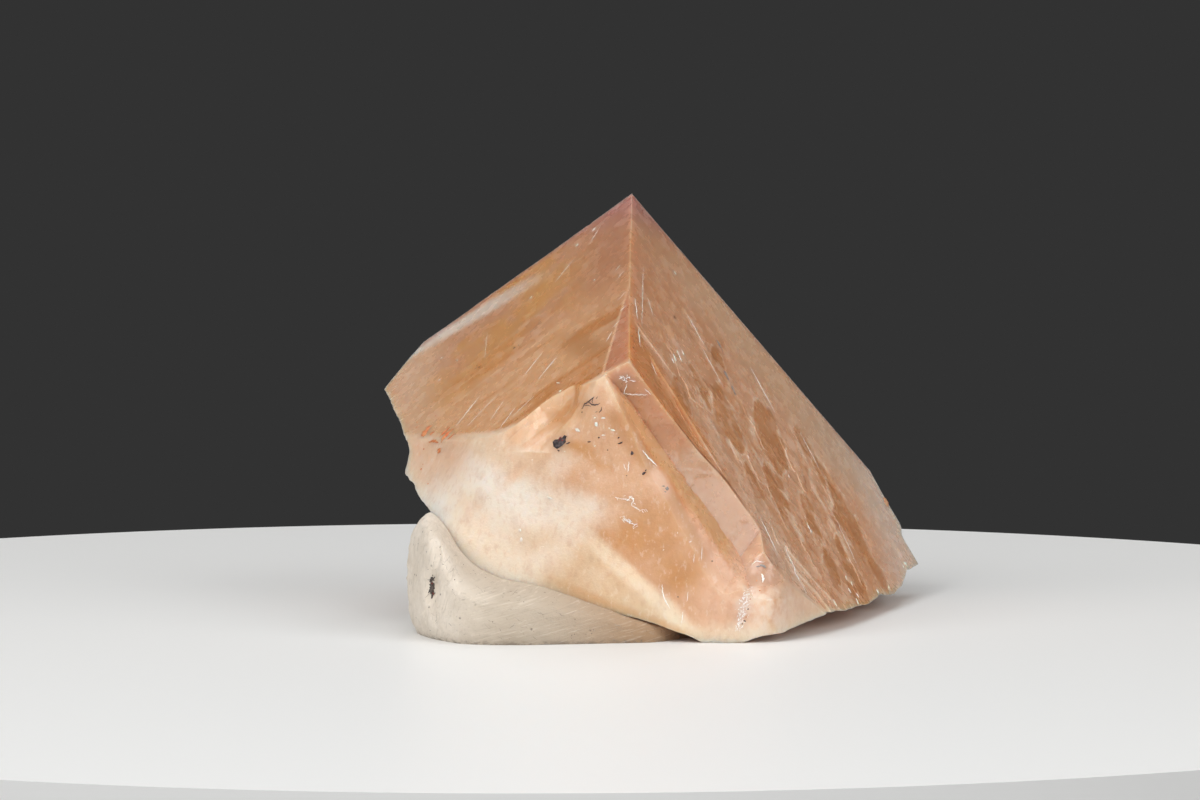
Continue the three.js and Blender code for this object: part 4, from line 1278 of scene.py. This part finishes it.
def rust_and_mottle(g, look):
    """Rust at the left end, and a mottle over all."""
    fine = g.fine
    rust = g.most(g.spot(g.room, (-24.0, -14, 21.0), (0.9, 9, 1.3), math.degrees(0.5), 0.8),
                  g.spot(g.room, (-22.3, -15, 20.6), (1.3, 9, 0.8), math.degrees(-0.7), 0.8))
    sugar = g.noise(g.room, (0.55, 0.55, 0.9), 3, 0.65)
    look = look.lay((206, 92, 44), rust * fine.step(0.42, 0.62) * 0.8)
    look = look.lay((172, 116, 74), fine.step(0.48, 0.34) * 0.12)
    look = look.lay((252, 236, 220), fine.step(0.54, 0.72) * 0.12)
    look = look.lay((196, 140, 96), sugar.step(0.46, 0.34) * g.broken * 0.16)
    return look.lay((255, 246, 236), sugar.step(0.56, 0.68) * g.broken * 0.2)


def fluorite():
    g = StoneGraph()
    p, q, _ = g.pqr
    look = g.mix(right_face(g), left_face(g), (p - q).step(-0.5, 0.5))
    look = ledges_and_steps(g, bevel_and_corner(g, look))
    front, strip = front_borders(g, *front_clouds(g))
    look = g.mix(look, front, g.most(g.behind_front.step(1.1, 0.4), strip))
    # painted shade: darker on the wedge and the dome at the step's end, which face the lamps
    step_end_shade = g.most(g.patch(10.0, 10.0, 1.8, 2.8, 0.0, 0.7, g.room),
                      g.patch(10.8, 7.4, 2.4, 1.8, 0.0, 0.7, g.room))
    look = rust_and_mottle(g, look.lay((204, 164, 138), step_end_shade * 0.75))

    grain = g.noise(g.room, (0.3, 0.3, 0.3), 3, 0.6)
    seams = g.seam * g.within * (q - p).step(0, 2) * g.behind_front.step(0.8, 1.4) * 1.2
    g.bump(0.35, 0.00012, grain * g.broken + g.clouds * 0.5 + seams)
    g.feed({
        "Base Color": look,
        "Roughness": 0.2 + g.fine.step(0.35, 0.7) * 0.14 + g.broken * 0.12,
        "IOR": 1.434,
        "Transmission Weight": 0.2,
        "Subsurface Weight": 1.0,
        "Subsurface Radius": (1.0, 0.8, 0.62),
        "Subsurface Scale": 0.0025,
        "Coat Weight": 0.2,
        "Coat Roughness": 0.12,
    })
    absorb = g.add("VolumeAbsorption", {"Color": (0.9, 0.62, 0.4, 1), "Density": 50.0})
    g.plug(g.tree.nodes["Material Output"].inputs["Volume"], absorb)
    return g.material


# ------------------------------------------------------------------ putty and marks

def putty_look():
    """Grey-white putty with pulled strands and specks, darker along its foot; painted shade of the crystal
    greys its middle and browns its right end.
    """
    g = Graph("putty")
    x, _, z = g.split(g.room)
    clouds = g.noise(g.room, (5, 5, 5), 4, 0.6)
    fine = g.noise(g.room, (0.6, 0.6, 0.6), 4, 0.65)
    specks = g.add("TexVoronoi", {"Vector": g.room, "Scale": 0.85, "Randomness": 1.0}, "Distance")
    strands = g.noise(g.room, (2.6, 2.6, 0.16), 3, 0.6, 0.5, 2.2, (0, -14, 0))
    strands_left = g.noise(g.room, (0.3, 1.6, 1.4), 3, 0.6, 0.8, 6.1, (0, 12, 0))
    strands = g.mix(strands_left, strands, x.step(-21, -17))
    look = g.mix(colour(216, 205, 191), colour(206, 194, 179), clouds.step(0.4, 0.62))
    # painted shade: greyer across the middle, where the crystal's shadow falls
    look = look.lay((182, 168, 150), x.step(-23, -14) * 0.85)
    # painted shade: brown at the right end under the crystal, its shadow warmed by light passing through the
    # crystal
    look = look.lay((158, 122, 86), x.step(-14, 0) * 0.8)
    look = look.lay((168, 156, 142), fine.step(0.6, 0.72) * 0.5)
    look = look.lay((92, 82, 76), specks.step(0.13, 0.05) * clouds.step(0.42, 0.55) * 0.75)
    # darker along the foot, where the putty meets the floor
    look = look.lay((132, 120, 106), z.step(0.6, 0.0) * fine.step(0.4, 0.58) * 0.6)
    look = look.lay((150, 136, 122), strands.step(0.44, 0.34) * 0.22)
    look = look.lay((244, 234, 220), strands.step(0.56, 0.66) * 0.18)
    dents = g.noise(g.room, (0.42, 0.42, 0.42), 5, 0.7) + specks.step(0.0, 0.2) * 0.6
    g.bump(0.6, 0.00022, dents + strands * 0.5)
    g.feed({
        "Base Color": look,
        "Roughness": 0.78 + fine * 0.18,
        "Specular IOR Level": 0.35,
        "Subsurface Weight": 0.15,
        "Subsurface Radius": (1.0, 0.8, 0.6),
        "Subsurface Scale": 0.0008,
    })
    return g.material


def mark_look(name, one, other, size, roughness, metallic=0.0, sheer=0.0):
    """A mottled material for small marks."""
    g = Graph(name)
    grains = g.noise(g.room, (size, size, size), 4, 0.6)
    g.bump(0.5, 0.00006, grains)
    g.feed({
        "Base Color": g.mix(colour(*one), colour(*other), grains.step(0.42, 0.6)),
        "Roughness": roughness + grains * 0.15,
        "Metallic": metallic,
        "Subsurface Weight": sheer,
        "Subsurface Scale": 0.0006,
    })
    return g.material


# ------------------------------------------------------------------ pieces

def piece(name, mesh, material, sharp=None):
    obj = bpy.data.objects.new(name, mesh)
    bpy.context.collection.objects.link(obj)
    mesh.materials.clear()
    mesh.materials.append(material)
    mesh.shade_smooth()
    if sharp is not None:
        mesh.set_sharp_from_angle(angle=math.radians(sharp))
    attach(obj, "root")
    return obj


crystal_material = fluorite()
putty_material = putty_look()

mesh = crystal_mesh()
crystal = piece("crystal_body", mesh, crystal_material, 24)
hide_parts("crystal")
putty = piece("putty_lump", putty_mesh(mesh), putty_material, 50)
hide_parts("putty")

skins = {"fluorite": Skin(crystal.data), "putty": Skin(putty.data)}
iron = mark_look("iron_oxide", (44, 38, 40), (88, 76, 76), 0.25, 0.30, 0.3)
red_iron = mark_look("red_iron_oxide", (128, 34, 24), (84, 30, 26), 0.2, 0.35, 0.1)
rust = mark_look("rust_stain", (218, 142, 96), (200, 104, 60), 0.5, 0.5, 0.0, 0.4)
grey = mark_look("grey_film", (150, 142, 136), (120, 118, 118), 0.3, 0.45, 0.0, 0.3)
pale = mark_look("pale_fracture", (252, 240, 228), (240, 220, 204), 0.3, 0.35, 0.0, 0.4)
white = mark_look("white_bruise", (255, 250, 244), (248, 236, 224), 0.2, 0.45, 0.0, 0.2)
chip = mark_look("orange_stain", (196, 150, 116), (178, 122, 86), 0.3, 0.4, 0.0, 0.4)
dust = mark_look("dark_dust", (96, 86, 80), (64, 58, 56), 0.15, 0.8)
hair = mark_look("grey_fibre", (164, 152, 140), (128, 118, 110), 0.3, 0.8)
mark_pieces = [
    (dark_flake, iron, "fluorite"),
    (red_flake, red_iron, "fluorite"),
    (dark_needles, iron, "fluorite"),
    (dark_grains, iron, "fluorite"),
    (grey_smudges, grey, "fluorite"),
    (pale_flecks, pale, "fluorite"),
    (pale_scratches, white, "fluorite"),
    (chalk_streak, white, "fluorite"),
    (rust_films, rust, "fluorite"),
    (orange_chip, chip, "fluorite"),
    (putty_fibres, hair, "putty"),
    (putty_grains, dust, "putty"),
    (putty_rust, red_iron, "putty"),
]
for seed, (build, look, slot) in enumerate(mark_pieces, 1):
    marks = Marks(seed)
    build(marks, skins[slot])
    piece(build.__name__, marks.mesh(build.__name__), look, 60)

# ------------------------------------------------------------------ stage, light and camera

TABLE_RADIUS = 0.121
TABLE_THICK = 0.008
TABLE_CENTRE = (-0.0117, -0.0074)
CAMERA_TILT = 3.3  # degrees below level
BACKDROP = 0.032

bm = bmesh.new()
bmesh.ops.create_cone(bm, cap_ends=True, segments=256, radius1=TABLE_RADIUS, radius2=TABLE_RADIUS,
                      depth=TABLE_THICK, matrix=Matrix.Translation((*TABLE_CENTRE, -TABLE_THICK / 2)))
floor_mesh = bpy.data.meshes.new("table")
bm.to_mesh(floor_mesh)
bm.free()
floor = bpy.data.objects.new("table", floor_mesh)
bpy.context.collection.objects.link(floor)
floor_material = bpy.data.materials.new("table")
floor_material.use_nodes = True
shader = floor_material.node_tree.nodes["Principled BSDF"]
shader.inputs["Base Color"].default_value = (0.80, 0.80, 0.79, 1)
shader.inputs["Roughness"].default_value = 0.45
floor_mesh.materials.append(floor_material)


def soft_light(name, place, size, power):
    data = bpy.data.lights.new(name, "AREA")
    data.shape, data.size, data.energy = "SQUARE", size, power
    light = bpy.data.objects.new(name, data)
    light.location = place
    aim = Vector((0, 0, 0.015)) - Vector(place)
    light.rotation_euler = aim.to_track_quat("-Z", "Y").to_euler()
    bpy.context.collection.objects.link(light)


soft_light("key", (-0.50, -0.44, 0.55), 0.60, 6.2)
soft_light("fill", (0.58, -0.46, 0.42), 0.60, 3.6)
soft_light("front", (0.05, -0.85, 0.22), 0.50, 1.6)
soft_light("top", (0.02, -0.10, 0.80), 0.55, 1.6)
soft_light("rear", (0.05, 0.45, 0.70), 0.50, 1.2)

world = bpy.data.worlds.new("surroundings")
world.use_nodes = True
world.node_tree.nodes["Background"].inputs["Color"].default_value = (BACKDROP, BACKDROP, BACKDROP, 1)
scene = bpy.context.scene
scene.world = world
scene.view_settings.view_transform = "Standard"

camera_data = bpy.data.cameras.new("camera")
camera_data.lens, camera_data.sensor_width = 130, 36
camera = bpy.data.objects.new("camera", camera_data)
camera.location = (-0.00578, -0.45939, 0.0494)
camera.rotation_euler = (math.radians(90 - CAMERA_TILT), 0, 0)
bpy.context.collection.objects.link(camera)
scene.camera = camera
